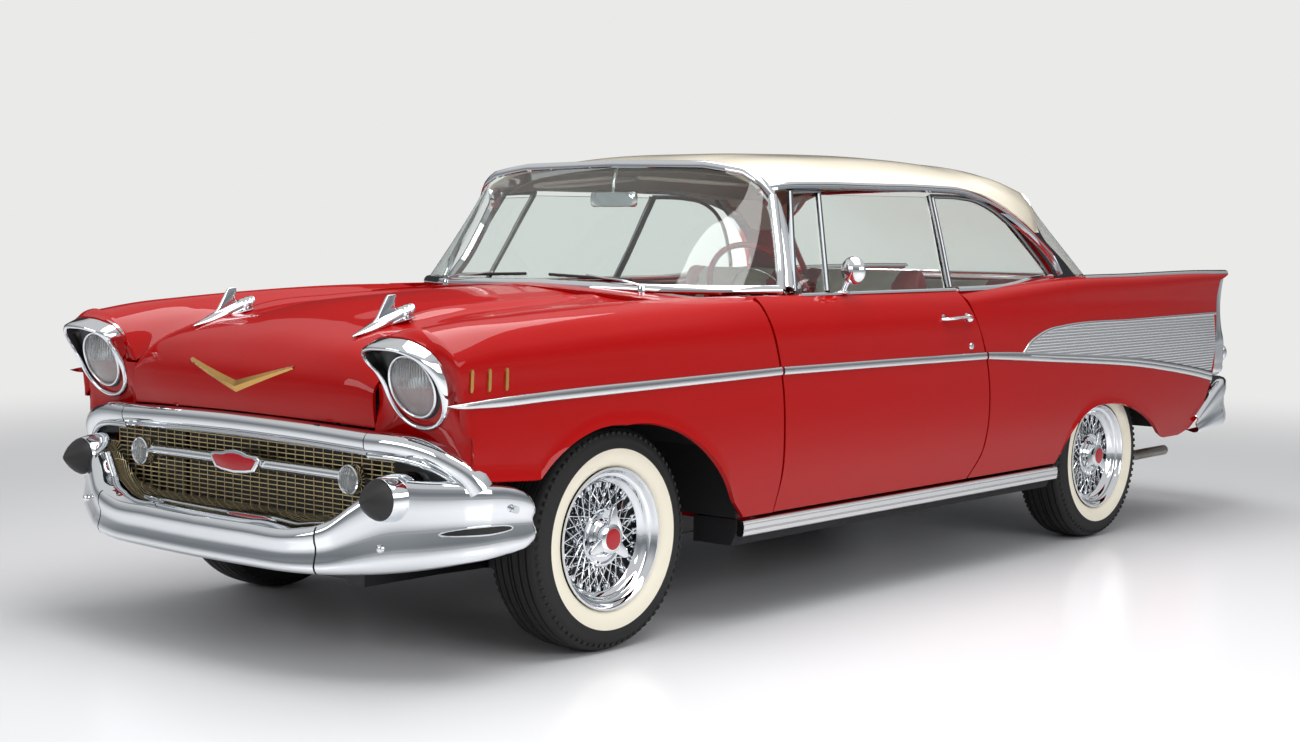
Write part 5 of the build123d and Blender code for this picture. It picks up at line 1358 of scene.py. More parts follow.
# laminated safety glass with a faint green body tint
tintedGlass, tree, shader = newMaterial("laminated glass, green tint",
                                        {"Base Color": hexColour("#f3f9f6"), "Roughness": 0.0, "IOR": 1.45,
                                         "Transmission Weight": 1.0})
windshieldRows = {1000: [(800, -838), (735, -985), (580, -1100), (320, -1178), (0, -1200)],
                  1120: [(764, -802), (708, -905), (565, -1000), (310, -1066), (0, -1085)],
                  1280: [(700, -750), (668, -805), (545, -864), (300, -902), (0, -915)],
                  1460: [(628, -700), (600, -728), (510, -746), (290, -754), (0, -756)]}


def curvedPane(rows, lowEdge, highEdge, columns=110, lines=50):
    # the grid of a bent pane between two edge heights, given by the share of the half width
    heights = sorted(rows)
    half = np.array([[(x, y, z) for x, y in rows[z]] for z in heights], float)
    net = np.concatenate([half, half[:, ::-1][:, 1:] * [-1, 1, 1]], axis=1)
    knots = chordKnots(net)
    middle = knots[-1] / 2
    v = np.linspace(0, middle * 2, columns)
    side = abs(v - middle) / middle
    low, high = np.interp(side, *np.array(lowEdge, float).T), np.interp(side, *np.array(highEdge, float).T)
    u = low[None, :] + (high - low)[None, :] * np.linspace(0, 1, lines)[:, None]
    grid = readNet(net, np.array(heights, float), knots, u, np.broadcast_to(v, u.shape))
    return grid


windshieldGrid = curvedPane(windshieldRows, [(0, 1044), (0.6, 1036), (1, 1034)],
                            [(0, 1450), (0.55, 1442), (0.8, 1418), (0.92, 1380), (1, 1340)])
windshieldPane = skinPiece("windshield_pane", windshieldGrid, 5, tintedGlass)
settle(windshieldPane, "body", "windshield")
rearRows = {1036: [(680, 1290), (600, 1520), (450, 1636), (250, 1680), (0, 1690)],
            1215: [(622, 1100), (565, 1290), (430, 1390), (240, 1430), (0, 1440)],
            1400: [(585, 1046), (510, 1078), (400, 1100), (230, 1114), (0, 1118)]}
rearGrid = curvedPane(rearRows, [(0, 1040), (1, 1040)], [(0, 1402), (0.7, 1388), (0.86, 1358), (1, 1284)])
rearPane = skinPiece("rear_window_pane", rearGrid, 5, tintedGlass)
settle(rearPane, "body", "rear_window")


def coverNode(name, finish):
    # a solid shown as it is, in a finish of its own
    nodes[name].data.materials.clear()
    nodes[name].data.materials.append(finish)


for nodeName in ("door_glass_left", "door_glass_right", "quarter_glass"):
    coverNode(nodeName, tintedGlass)


def edgeFrame(name, grid, section, material):
    # a moulding that follows the four edges of a pane; up is the pane's own outward normal
    normal = gridNormals(grid)
    edges = ((grid[0], normal[0]), (grid[-1], normal[-1]), (grid[:, 0], normal[:, 0]),
             (grid[:, -1], normal[:, -1]))
    pieces = [ringPiece(name, sweepRings(path, section, up), material, sharp=40) for path, up in edges]
    return tidyMesh(joinObjects(pieces, name), 40)


windshieldFrameSection = [(-15, -6), (-15, 4), (-10, 9), (0, 11), (10, 9), (15, 4), (15, -6)]
screenFrame = edgeFrame("windshield_surround", windshieldGrid, windshieldFrameSection, chromePlate)
settle(screenFrame, "body", "windshield_frame")
rearFrameSection = [(-13, -5), (-13, 4), (-7, 9), (7, 9), (13, 4), (13, -5)]
rearFrame = edgeFrame("rear_window_surround", rearGrid, rearFrameSection, chromePlate)
settle(rearFrame, "body")

# chrome pillar beside the windshield, and the drip rail from it over the side windows to the belt
pillarPath = [(630, -722, 1362), (652, -700, 1322), (680, -705, 1270), (712, -722, 1200), (752, -752, 1110),
              (790, -792, 1036)]
pillarSection = [(-24, -14), (-24, 4), (-16, 12), (0, 15), (16, 12), (24, 4), (24, -14)]
screenPillar = sweptPiece("screen_pillar_left", pillarPath, 60, pillarSection, (0.86, -0.35, 0.35),
                          chromePlate, 40)
bothSides(screenPillar, "body")
railPath = [(640, -716, 1362), (664, -640, 1371), (676, -500, 1376), (682, -200, 1378), (684, 200, 1379),
            (684, 420, 1372),
            (680, 560, 1350), (678, 700, 1314), (684, 830, 1264), (700, 950, 1196), (722, 1040, 1120),
            (744, 1062, 1060)]
railSection = [(-12, -8), (-13, 3), (-8, 8), (-2, 9), (0, 5), (4, 8), (11, 5), (12, -8)]
bothSides(sweptPiece("drip_rail_left", railPath, 140, railSection, (0.9, 0.1, 0.42), chromePlate, 40),
          "body")


def onGlass(y, z, out=0.0):
    # a place on the flat plane of the left side windows
    return (800 - 0.4054 * (z - 1022) + 0.926 * out, y, z + 0.376 * out)


# rolled stainless channel of the window frames, a little rougher than the plated trim; its darker base
# colour is painted shade
paintedShadeTrim, tree, shader = newMaterial("rolled stainless channel, dulled",
                                       {"Base Color": hexColour("#77797b"), "Metallic": 1.0,
                                        "Roughness": 0.2})


def glassBar(name, points, width, height, out=3.0, count=24):
    # a channel along (y, z) points on the glass
    half, depth = width / 2, height / 2
    section = [(-half, -depth), (-half, depth * 0.5), (-half * 0.5, depth), (half * 0.5, depth),
               (half, depth * 0.5),
               (half, -depth)]
    line = [onGlass(y, z, out) for y, z in points]
    # the frames take the stainless with painted shade in its darker base colour
    return sweptPiece(name, line, count, section, (0.926, 0, 0.376), paintedShadeTrim, 40)


ventFrame = joinObjects([
    glassBar("v", [(-770, 1026), (-712, 1160), (-655, 1290), (-628, 1350)], 18, 16),
    glassBar("v", [(-632, 1350), (-560, 1354), (-462, 1356)], 14, 16),
    glassBar("v", [(-592, 1024), (-530, 1190), (-470, 1350)], 17, 17)], "vent_frame_left")
ventFrame = tidyMesh(ventFrame, 40)
bothSides(ventFrame, "door_left", "door_trim_left")
doorPost = glassBar("door_glass_post_left", [(140, 1022), (178, 1180), (214, 1352)], 17, 15)
bothSides(doorPost, "door_left")
quarterPost = glassBar("quarter_glass_post_left", [(160, 1024), (198, 1180), (234, 1352)], 13, 15)
bothSides(quarterPost, "body")
quarterRim = glassBar("quarter_glass_rim_left", [(226, 1352), (420, 1350), (520, 1340), (620, 1308),
                                                 (716, 1252), (806, 1158), (868, 1080), (880, 1060)], 15,
                      15, count=60)
bothSides(quarterRim, "body")
print("stage: windows")


# Small brightwork of the sides

def ellipsoidPiece(name, centre, radii, material, rings=20, steps=36):
    profile = []
    for k in range(rings + 1):
        a = pi * k / rings
        profile.append([(centre[0] + radii[0] * sin(a) * cos(2 * pi * j / steps),
                         centre[1] + radii[1] * -cos(a),
                         centre[2] + radii[2] * sin(a) * sin(2 * pi * j / steps)) for j in range(steps)])
    return tidyMesh(ringPiece(name, profile, material, caps=False), 60)


handlePath = [(890, -38, 920), (908, -32, 921), (922, -12, 923), (925, 40, 926), (923, 90, 925),
              (910, 118, 922), (890, 124, 919)]
pull = sweptPiece("door_pull", handlePath, 50, roundSection(6, 12, 14), (1, 0, 0), chromePlate, 60)
plates = [ellipsoidPiece("plate", (892, y, 920), (8, 24, 19), chromePlate) for y in (-30, 122)]
button = ellipsoidPiece("button", (902, 126, 919), (18, 15, 15), chromePlate)
lock = turned("lock", [(-8, 13), (0, 13), (3, 11), (4, 6), (4.5, 0.6)], chromePlate, (908, 140, 820), "X",
              32)
handle = tidyMesh(joinObjects([pull, *plates, button, lock], "door_handle_left"), 45)
bothSides(handle, "door_left")
stalkPath = [(852, -572, 1026), (858, -568, 1046), (868, -564, 1070), (878, -562, 1088)]
mirrorParts = [ellipsoidPiece("base", (852, -572, 1024), (17, 30, 8), chromePlate),
               sweptPiece("stalk", stalkPath, 24, roundSection(7, 9, 14), (1, 0, 0.2), chromePlate)]
mirrorBack = [(-30, 1), (-29, 14), (-24, 28), (-14, 40), (-4, 45.5), (2, 46.5), (5, 46), (5, 43), (2, 42),
              (1, 1)]
mirrorHead = turned("head", mirrorBack, chromePlate, (882, -560, 1096), "Y", 56)
sideMirror = tidyMesh(joinObjects(mirrorParts + [mirrorHead], "door_mirror_left"), 45)
settle(sideMirror, "door_left")
ventPieces = []
for y in (-2290, -2230, -2170):
    corners = []
    for dy, z in ((-4, 792), (-5, 798), (-5, 848), (-1, 856), (6, 856), (8, 850), (8, 800), (4, 792)):
        corners.append((y + dy, z))
    low = onSide(fenderRows, [c[0] for c in corners], [c[1] for c in corners], 0.2)
    high = onSide(fenderRows, [y + (c[0] - y) * 0.75 for c in corners],
                  [824 + (c[1] - 824) * 0.92 for c in corners], 5.0)
    ventPieces.append(ringPiece("vent", np.array([low, high]), goldAnodised, sharp=20))
sideVents = tidyMesh(joinObjects(ventPieces, "fender_vents_left"), 20)
bothSides(sideVents, "body")

# Hood ornaments: two chrome rockets with swept fins, and a plain gold chevron on the nose

def onHood(x, z):
    # place on the hood's nose at x and height z
    grid = hoodGrid.reshape(-1, 3)
    front = grid[(grid[:, 2] < 850) & (grid[:, 1] < -2300)]
    near = front[np.argsort((front[:, 0] - x) ** 2 + (front[:, 2] - z) ** 2)[:6]]
    return float(near[:, 1].mean())


rocketRows = [(-2256, 919, 2, 2), (-2236, 925, 9, 6), (-2206, 934, 19, 11), (-2160, 950, 26, 17),
              (-2110, 966, 27, 20), (-2076, 976, 23, 19), (-2060, 980, 20, 17), (-2056, 981, 15, 13)]
rocketRings = []
for y, z, half, tall in rocketRows:
    rocketRings.append([(370 + p, y + 0.25 * q, z + q) for p, q in roundSection(half, tall, 28)])
rocket = ringPiece("rocket", smoothRings(rocketRings, 40), chromePlate, sharp=60)
wings = []
for side in (1, -1):
    root, tip = 370 + side * 14, 370 + side * 48
    wingRings = [[(root, -2150, 949), (root, -2068, 975), (root, -2068, 969), (root, -2150, 943)],
                 [(tip, -2094, 964), (tip, -2062, 969), (tip, -2062, 967), (tip, -2094, 962)]]
    wings.append(ringPiece("wing", wingRings, chromePlate, sharp=20))
finOutline = [(-2190, 948), (-2168, 968), (-2132, 1026), (-2126, 1032), (-2098, 1034), (-2096, 1028),
              (-2104, 1002), (-2092, 984), (-2082, 976)]
rocketFin = prismPiece("rocket_fin", finOutline, 366.5, 373.5, chromePlate, "X", bevel=1.5)
tailRows = [(-2092, 14), (-2086, 25), (-2078, 26), (-2075, 22), (-2071, 22), (-2068, 26), (-2060, 26),
            (-2057, 22),
            (-2053, 22), (-2050, 25), (-2044, 24), (-2043, 17), (-2052, 15)]
tailRings = [[(370 + p, y + 0.27 * q, 977 + (y + 2078) * 0.27 + 0.85 * q) for p,
              q in roundSection(r, r, 32)]
             for y, r in tailRows]
rocketTail = ringPiece("rocket_tail", tailRings, chromePlate, sharp=30)
rocketLeft = tidyMesh(joinObjects([rocket, *wings, rocketFin, rocketTail], "hood_rocket_left"), 45)
bothSides(rocketLeft, "hood")
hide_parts("hood_ornaments")
chevronSpec = {"point": 764, "tip": (238, 830), "width": 34, "tipWidth": 11, "height": 7}
chevronRings = []
for t in np.linspace(-1, 1, 61):
    s = abs(t)
    x = chevronSpec["tip"][0] * t
    z = chevronSpec["point"] + (chevronSpec["tip"][1] - chevronSpec["point"]) * s
    half = (chevronSpec["width"] + (chevronSpec["tipWidth"] - chevronSpec["width"]) * s) / 2
    ring = [(x, onHood(x, z + dz) - out, z + dz) for dz, out in ((-half, -3), (-half, 1),
                                                                 (0, chevronSpec["height"]), (half, 1),
                                                                 (half, -3))]
    chevronRings.append(ring)
chevron = ringPiece("hood_chevron", chevronRings, goldAnodised, sharp=20)
settle(chevron, "hood")

# wipers: chrome arms from the cowl pivots and rubber blades lying on the glass
def onScreen(x, z, out):
    grid = windshieldGrid.reshape(-1, 3)
    near = grid[np.argsort((grid[:, 0] - x) ** 2 + (grid[:, 2] - z) ** 2)[:4]].mean(axis=0)
    return (x, near[1] - out, z)


for side, pivotX, way in (("left", 455, -1), ("right", -455, 1)):
    spin = turned("pivot", [(-30, 13), (0, 15), (8, 13), (12, 1)], chromePlate, (pivotX, -1124, 1034), "Z",
                  24)
    arm = [(pivotX, -1124, 1044), (pivotX + way * 60, -1140, 1058), onScreen(pivotX + way * 160, 1066, 14),
           onScreen(pivotX + way * 235, 1074, 10)]
    blade = [onScreen(pivotX + way * reach, 1060 + 0.03 * reach, 5) for reach in np.linspace(60, 400, 16)]
    armPiece = sweptPiece("arm", arm, 24, roundSection(4, 3, 10), (0, -0.5, 0.8), stainlessTrim)
    bladeSection = [(-4, -5), (-4, 3), (0, 5), (4, 3), (4, -5)]
    rubberBlade = ringPiece("blade", sweepRings(np.array(blade), bladeSection, (0, -0.8, 0.5)), blackRubber)
    wiper = joinObjects([spin, armPiece, rubberBlade], "wiper_" + side)
    settle(tidyMesh(wiper, 45), "body")
print("stage: brightwork")


# Cabin

def grainedFinish(name, colour, rough, grain, depth):
    # a covering or coating with an even grain; grain and depth in mm
    material, tree, shader = newMaterial(name, {"Base Color": hexColour(colour), "Roughness": rough})
    pebbles = pattern(tree, "ShaderNodeTexVoronoi", {"Scale": 1 / (grain * mm)})
    linkBump(tree, shader, pebbles.outputs["Distance"], depth * mm)
    return material


redVinyl = grainedFinish("vinyl, red, leather grain", "#a01310", 0.42, 1.6, 0.12)
silverVinyl = grainedFinish("vinyl, silver grey, cross grain", "#cfcabd", 0.38, 1.4, 0.1)
loopCarpet = grainedFinish("loop pile carpet, dark red", "#3c0d0b", 0.95, 3.2, 1.6)
headlinerCloth = grainedFinish("headliner cloth, stone", "#b9b1a0", 0.9, 1.2, 0.15)


def bandedPad(obj, centre, half, low, bandMaterial):
    # the middle of a pad is covered in the second material
    obj.data.materials.append(bandMaterial)
    for face in obj.data.polygons:
        if abs(face.center.x / mm - centre) < half and face.center.z / mm > low:
            face.material_index = 1


def closedCurve(points, count):
    # smooth closed outline through a few points
    points = np.array(points, float)
    around = np.concatenate([points[-2:], points, points[:3]])
    knots = np.concatenate([[0], np.cumsum(np.linalg.norm(np.diff(around, axis=0), axis=1))])
    return alongKnots(knots, around, np.linspace(knots[2], knots[len(points) + 2], count + 1)[:-1])


def padForm(name, outline, xFrom, xTo, material, count=64):
    # a cushion's form: the (y, z) outline carried along x and drawn in at both ends
    ring = closedCurve(outline, count)
    middle = ring.mean(axis=0)
    turnIn = min(np.ptp(ring[:, 0]), np.ptp(ring[:, 1])) * 0.5 * 0.42
    span = np.linalg.norm(ring - middle, axis=1, keepdims=True)
    rings = []
    for a in np.concatenate([np.linspace(0, pi / 2, 9), np.linspace(pi / 2, pi, 9)]):
        inset = turnIn * (1 - sin(a))
        x = xFrom + turnIn * (1 - cos(a)) if len(rings) < 9 else xTo - turnIn * (1 + cos(a))
        moved = middle + (ring - middle) * (1 - inset / span)
        rings.append([(x, y, z) for y, z in moved])
    return ringPiece(name, rings, material, sharp=80)


padSpec = {"voxel": 0.011, "pressure": 4.0, "frames": 20, "cap": 0.024}


def stuffed(obj, cap):
    # swell a pad like filled cloth, keeping every point within the cap
    remesh = obj.modifiers.new("skin", "REMESH")
    remesh.mode, remesh.voxel_size = "VOXEL", padSpec["voxel"]
    bakeModifiers(obj)
    start = np.array([v.co[:] for v in obj.data.vertices])
    cloth = obj.modifiers.new("fill", "CLOTH")
    cloth.settings.use_pressure = True
    cloth.settings.uniform_pressure_force = padSpec["pressure"]
    cloth.settings.effector_weights.gravity = 0
    cloth.point_cache.frame_start, cloth.point_cache.frame_end = 1, padSpec["frames"]
    for frameNumber in range(1, padSpec["frames"] + 1):
        bpy.context.scene.frame_set(frameNumber)
    bakeModifiers(obj)
    bpy.context.scene.frame_set(1)
    now = np.array([v.co[:] for v in obj.data.vertices])
    move = now - start
    length = np.linalg.norm(move, axis=1, keepdims=True)
    now = start + move * np.minimum(1, cap / np.maximum(length, 1e-9))
    obj.data.vertices.foreach_set("co", now.ravel())
    smoother = obj.modifiers.new("even", "SUBSURF")
    smoother.levels = smoother.render_levels = 1
    bakeModifiers(obj)
    for face in obj.data.polygons:
        face.use_smooth = True
    return obj


def laidOn(obj, points, way, lift):
    # points dropped along a direction on to a piece, a little proud of it
    tree = BVHTree.FromPolygons([v.co for v in obj.data.vertices],
                                [p.vertices[:] for p in obj.data.polygons])
    out = []
    for point in points:
        hit = tree.ray_cast(Vector([c * mm for c in point]), Vector(way))
        if hit[0] is not None:
            out.append([c / mm - w * lift for c, w in zip(hit[0], way)])
    return np.array(out)


def welt(name, path, radius, material):
    return ringPiece(name, sweepRings(path, roundSection(radius, radius, 8), (0, 0.3, 1)), material)


frontBackOutline = [(250, 476), (236, 560), (250, 700), (274, 870), (306, 1040), (324, 1090), (350, 1100),
                    (376, 1074),
                    (366, 900), (352, 700), (340, 480)]
seatSpecs = {
    "front_seat_cushion": {"outline": [(-258, 480), (-262, 560), (-236, 606), (-150, 616), (0, 604),
                                       (150, 592), (222, 582), (226, 520), (210, 474), (0, 468),
                                       (-160, 468)],
                           "x": (-582, 582), "node": "front_seat", "fill": 0.8},
    "front_seat_back_left": {"outline": frontBackOutline, "x": (8, 582), "node": None, "fill": 0.85},
    "front_seat_back_right": {"outline": frontBackOutline, "x": (-582, -8), "node": None, "fill": 0.85},
    "rear_seat_cushion": {"outline": [(514, 505), (508, 560), (530, 590), (640, 596), (780, 582),
                                      (900, 572), (914, 530), (900, 498), (700, 496), (560, 496)],
                          "x": (-560, 560), "node": "rear_seat", "fill": 0.8},
    "rear_seat_back": {"outline": [(938, 500), (926, 580), (934, 760), (946, 930), (958, 1030), (978, 1056),
                                   (1006, 1046), (1020, 930), (1026, 700), (1026, 510)],
                       "x": (-560, 560), "node": None, "fill": 0.85},
}
for pieceName, spec in seatSpecs.items():
    pad = stuffed(padForm(pieceName, spec["outline"], *spec["x"], redVinyl), padSpec["cap"])
    low, high = spec["x"]
    middle, half = (low + high) / 2, (high - low) / 2
    isBack = "back" in pieceName
    bandHalf = half - (90 if half > 400 else 110)
    bandedPad(pad, middle, bandHalf, 640 if isBack else 540, silverVinyl)
    settle(pad, "body", spec["node"])
    edges = []
    for x in (middle - bandHalf, middle + bandHalf):
        if isBack:
            rows = [(x, spec["outline"][0][0] - 200, z) for z in np.linspace(650, 1030, 24)]
            path = laidOn(pad, rows, (0, 1, 0), 1)
        else:
            span = np.ptp([y for y, z in spec["outline"]])
            rows = [(x, spec["outline"][0][0] + 25 + (span - 60) * k / 24, 900) for k in range(24)]
            path = laidOn(pad, rows, (0, 0, -1), 1)
        if len(path) > 4:
            edges.append(welt("edge", smoothPath(path, 60), 3.5, redVinyl))
    if edges:
        settle(joinObjects(edges, pieceName + "_welts"), "body")
print("stage: seats")

# Dashboard: a rounded red panel with a silver insert, dials ahead of the driver, radio and glove box
dashSpec = {"half": 684, "dials": -834}
dashOutline = [(-1079, 720), (-1079, 955), (-1040, 974), (-1000, 978), (-930, 968), (-880, 950),
               (-852, 926), (-842, 896), (-842, 850),
               (-850, 815), (-872, 785), (-905, 762), (-960, 735)]
dashRings = [[(x, y, z) for y, z in dashOutline] for x in np.linspace(-dashSpec["half"], dashSpec["half"],
                                                                      25)]
dash = roundEdges(ringPiece("dashboard_panel", dashRings, redEnamel, sharp=30), 4, 3, 40)
settle(dash, "body", "dashboard")
ribbedInsert = prismPiece("dashboard_insert", [(-846, 818), (-839, 822), (-836, 850), (-836, 894),
                                               (-840, 908), (-846, 912)], -660, 660, ribbedSheet, "X",
                          bevel=2)
settle(ribbedInsert, "body")
# black printed dial faces, with marks of raised white paint
dialFace, tree, shader = newMaterial("dial face, printed", {"Base Color": hexColour("#151413"),
                                                            "Roughness": 0.5})
whitePaint, tree, shader = newMaterial("white dial paint", {"Base Color": hexColour("#e8e4da"),
                                                            "Roughness": 0.6})


def dial(name, x, z, radius, marks):
    # a round dial on the dash: bezel, black face, white marks and a needle
    y = dashSpec["dials"]
    bezel = [(-6, radius + 4), (0, radius + 7), (7, radius + 5), (10, radius), (6, radius - 3),
             (0, radius - 4),
             (-4, radius - 4)]
    face = [(-4, 0.5), (-4, radius - 3), (-2, radius - 3), (-2, 0.5)]
    parts = [turned("bezel", bezel, chromePlate, (x, y, z), "Y", 56),
             turned("face", face, dialFace, (x, y, z), "Y", 48)]
    for k in range(marks):
        a = radians(-30 + 240 * k / (marks - 1))
        inner, outer, w = radius * (0.72 if k % 2 == 0 else 0.8), radius * 0.9, 0.9
        quad = [(x - (r * cos(a) - s * w * sin(a)), z + r * sin(a) + s * w * cos(a))
                for r, s in ((inner, -1), (outer, -1), (outer, 1), (inner, 1))]
        verts = [(px * mm, py * mm, pz * mm) for py in (y - 1.6, y) for px, pz in quad]
        sheets = [(0, 1, 2, 3), (7, 6, 5, 4), (0, 4, 5, 1), (1, 5, 6, 2), (2, 6, 7, 3), (3, 7, 4, 0)]
        parts.append(makeObject("mark", verts, sheets, whitePaint))
    needle = [(-830.6, z - 1.2), (-829.2, z - 1.2), (-829.2, z + 1.2), (-830.6, z + 1.2)]
    parts.append(prismPiece("needle", needle, x - radius * 0.7, x + 6, redInlay))
    return tidyMesh(joinObjects(parts, name), 40)


for dialRow in (("speedometer", 375, 866, 44, 13), ("fuel_gauge", 282, 862, 27, 7),
                ("temperature_gauge", 468, 862, 27, 7), ("dash_clock", -60, 862, 25, 12)):
    settle(dial(*dialRow), "body")
radioParts = [prismPiece("plate", [(-842, 840), (-832, 840), (-830, 846), (-830, 882), (-832, 888),
                                   (-842, 888)], 50, 190, chromePlate, "X", bevel=2),
              prismPiece("window", [(-831, 862), (-828.6, 862), (-828.6, 880), (-831, 880)], 78, 162,
                         blackEnamel, "X", bevel=0.5)]
for x in (60, 180):
    radioParts.append(turned("knob", [(0, 9), (12, 9.5), (17, 8), (18, 0.5)], chromePlate, (x, -831, 864),
                             "Y", 24))
for k in range(5):
    x = 84 + 15.2 * k
    radioParts.append(prismPiece("key", [(-831, 845), (-822, 846), (-822, 855), (-831, 856)], x, x + 11,
                                 silverVinyl, "X", bevel=1.5))
settle(tidyMesh(joinObjects(radioParts, "radio"), 40), "body")
knobs = [turned("knob", [(0, 6), (10, 6), (14, 10), (24, 10.5), (27, 8), (28, 0.5)], chromePlate,
                (x, -850, 802), "Y", 24) for x in (250, 300, 450, 500, 20, -20)]
knobs.append(turned("lock", [(0, 12), (8, 12), (11, 9), (12, 0.5)], chromePlate, (-360, -838, 880), "Y",
                    28))
settle(tidyMesh(joinObjects(knobs, "dash_knobs"), 40), "body")

# Steering wheel and column
steerSpec = {"hub": (375, -400, 980), "tilt": 27, "rim": 216, "grip": 10.5, "hornRing": 122}


def onColumn(obj):
    # from the wheel's own frame to its place on the raked column
    tilt = Matrix.Rotation(radians(steerSpec["tilt"] - 90), 4, "X")
    obj.data.transform(Matrix.Translation([c * mm for c in steerSpec["hub"]]) @ tilt)
    obj.data.update()
    return obj


def ringTorus(name, radius, grip, material, start=0.0, stop=2 * pi, steps=96):
    # a round bar bent about the column, a whole ring or a part of one
    closed = stop - start > 6.2
    rings = [[((radius + s) * cos(a), (radius + s) * sin(a), t) for s, t in roundSection(grip, grip, 16)]
             for a in np.linspace(start, stop, steps)]
    if closed:
        rings[-1] = rings[0]
    return tidyMesh(ringPiece(name, rings, material, caps=not closed), 60)


rimPiece = ringTorus("rim", steerSpec["rim"], steerSpec["grip"], redVinyl)
spokeParts = []
for side in (1, -1):
    path = [(side * 30, 0, -8), (side * 80, -4, -12), (side * 150, -6, -8), (side * 214, -2, 0)]
    spokeSection = [(-17, -3), (-15, 3), (0, 6), (15, 3), (17, -3)]
    spokeParts.append(sweptPiece("spoke", path, 24, spokeSection, (0, 0, 1), redEnamel))
hornRing = ringTorus("ring", steerSpec["hornRing"], 3.6, chromePlate, -pi * 0.98, -pi * 0.02, 60)
legSection = [(-5, -3), (-5, 3), (5, 3), (5, -3)]
hornLegs = [ringPiece("leg", sweepRings([(side * 34, 0, 6), (side * 122, 0, 2)], legSection, (0, 0, 1)),
                      chromePlate)
            for side in (1, -1)]
hubCap = turned("cap", [(-30, 34), (2, 38), (14, 36), (22, 26), (25, 12), (26, 0.5)], chromePlate,
                (0, 0, 0), "Z", 48)
hubDisc = turned("disc", [(24, 0.5), (26.4, 0.5), (27, 8), (26, 12), (23, 12)], redInlay, (0, 0, 0), "Z",
                 32)
wheelPiece = onColumn(joinObjects([rimPiece, *spokeParts, hornRing, *hornLegs, hubCap, hubDisc],
                                  "steering_wheel_rim"))
settle(tidyMesh(wheelPiece, 45), "steering_wheel", "steering_wheel")
columnPiece = onColumn(joinObjects([
    turned("tube", [(-770, 22), (-60, 24), (-32, 30), (-31, 33), (-31.5, 0.5), (-770, 0.5)], redEnamel,
           (0, 0, 0), "Z", 32),
    sweptPiece("shift", [(-24, 0, -90), (-110, -10, -70), (-190, -30, -52)], 20, roundSection(4, 4, 10),
               (0, 0, 1), chromePlate),
    ellipsoidPiece("knob", (-196, -32, -50), (11, 11, 11), redVinyl)], "steering_column_tube"))
settle(tidyMesh(columnPiece, 45), "body", "steering_column")
mirrorShape = closedCurve([(-104, 1304), (-108, 1326), (-104, 1348), (-60, 1352), (0, 1353), (60, 1352),
                           (104, 1348), (108, 1326), (104, 1304), (60, 1300), (0, 1299), (-60, 1300)], 60)
mirrorRings = [[(x * s, -752 - d, 1326 + (z - 1326) * s) for x, z in mirrorShape]
               for s, d in ((0.9, 12), (1.0, 6), (1.0, 0), (0.97, -2))]
mirrorStalk = [(0, -738, 1434), (0, -752, 1400), (0, -756, 1372), (0, -756, 1346)]
rearView = joinObjects([
    ringPiece("shell", mirrorRings, chromePlate, sharp=30),
    sweptPiece("stalk", mirrorStalk, 16, roundSection(6, 6, 10), (1, 0, 0), chromePlate)],
                       "interior_mirror")
settle(tidyMesh(rearView, 40), "body")

# Doors: a red box behind the skin, with an upholstered card, armrest, crank and handle
def innerPlane(z):
    return np.interp(z, [330, 1018], [822, 802])


doorNormal = gridNormals(doorGrid)
doorBack = doorGrid - doorNormal * doorSpec["skin"]
doorPlane = doorGrid.copy()
doorPlane[..., 0] = innerPlane(doorGrid[..., 2])
doorBox = shellPiece("door_shell_left", doorBack + doorNormal * 1.5, doorPlane, redEnamel)
bothSides(doorBox, "door_left", "door_left")
inset = doorGrid[4:-4, 3:-2]
cardOuter = inset.copy()
cardOuter[..., 0] = innerPlane(inset[..., 2]) - 1
cardInner = cardOuter.copy()
cardInner[..., 0] -= 7
card = shellPiece("door_card_left", cardOuter, cardInner, redVinyl)
card.data.materials.append(silverVinyl)
for face in card.data.polygons:
    x, y, z = (c / mm for c in face.center)
    if 640 < z < 900 and -900 < y < 130 and z > 640 + 0.02 * abs(y):
        face.material_index = 1
armrest = padForm("rest", [(-560, 700), (-400, 706), (-200, 712), (-60, 712), (-40, 690), (-60, 672),
                           (-200, 668), (-400, 668), (-550, 676)], 746, 800, redVinyl, 48)
strip = prismPiece("strip", [(-900, 634), (140, 634), (140, 642), (-900, 642)], 786, 795, chromePlate, "X",
                   bevel=2)
upperStrip = prismPiece("strip", [(-900, 898), (140, 898), (140, 906), (-900, 906)], 786, 796, chromePlate,
                        "X", bevel=2)


def windowCrank(y, z, swing):
    boss = turned("boss", [(-30, 4), (-26, 17), (0, 19), (2, 17)], chromePlate, (798, y, z), "X", 28)
    tip = (y + 92 * sin(swing), z - 92 * cos(swing))
    line = [(770, y, z), (768, (y + tip[0]) / 2, (z + tip[1]) / 2), (764, *tip)]
    arm = ringPiece("arm", sweepRings(line, [(-8, -3), (-8, 3), (8, 3), (8, -3)], (1, 0, 0)), chromePlate)
    knob = ellipsoidPiece("knob", (750, *tip), (14, 10, 10), chromePlate)
    return [boss, arm, knob]


doorTrimParts = [card, armrest, strip, upperStrip] + windowCrank(-330, 800, 0.5) + windowCrank(-640, 800,
    -0.4)
doorCard = tidyMesh(joinObjects(doorTrimParts, "door_card_left"), 45)
bothSides(doorCard, "door_left")

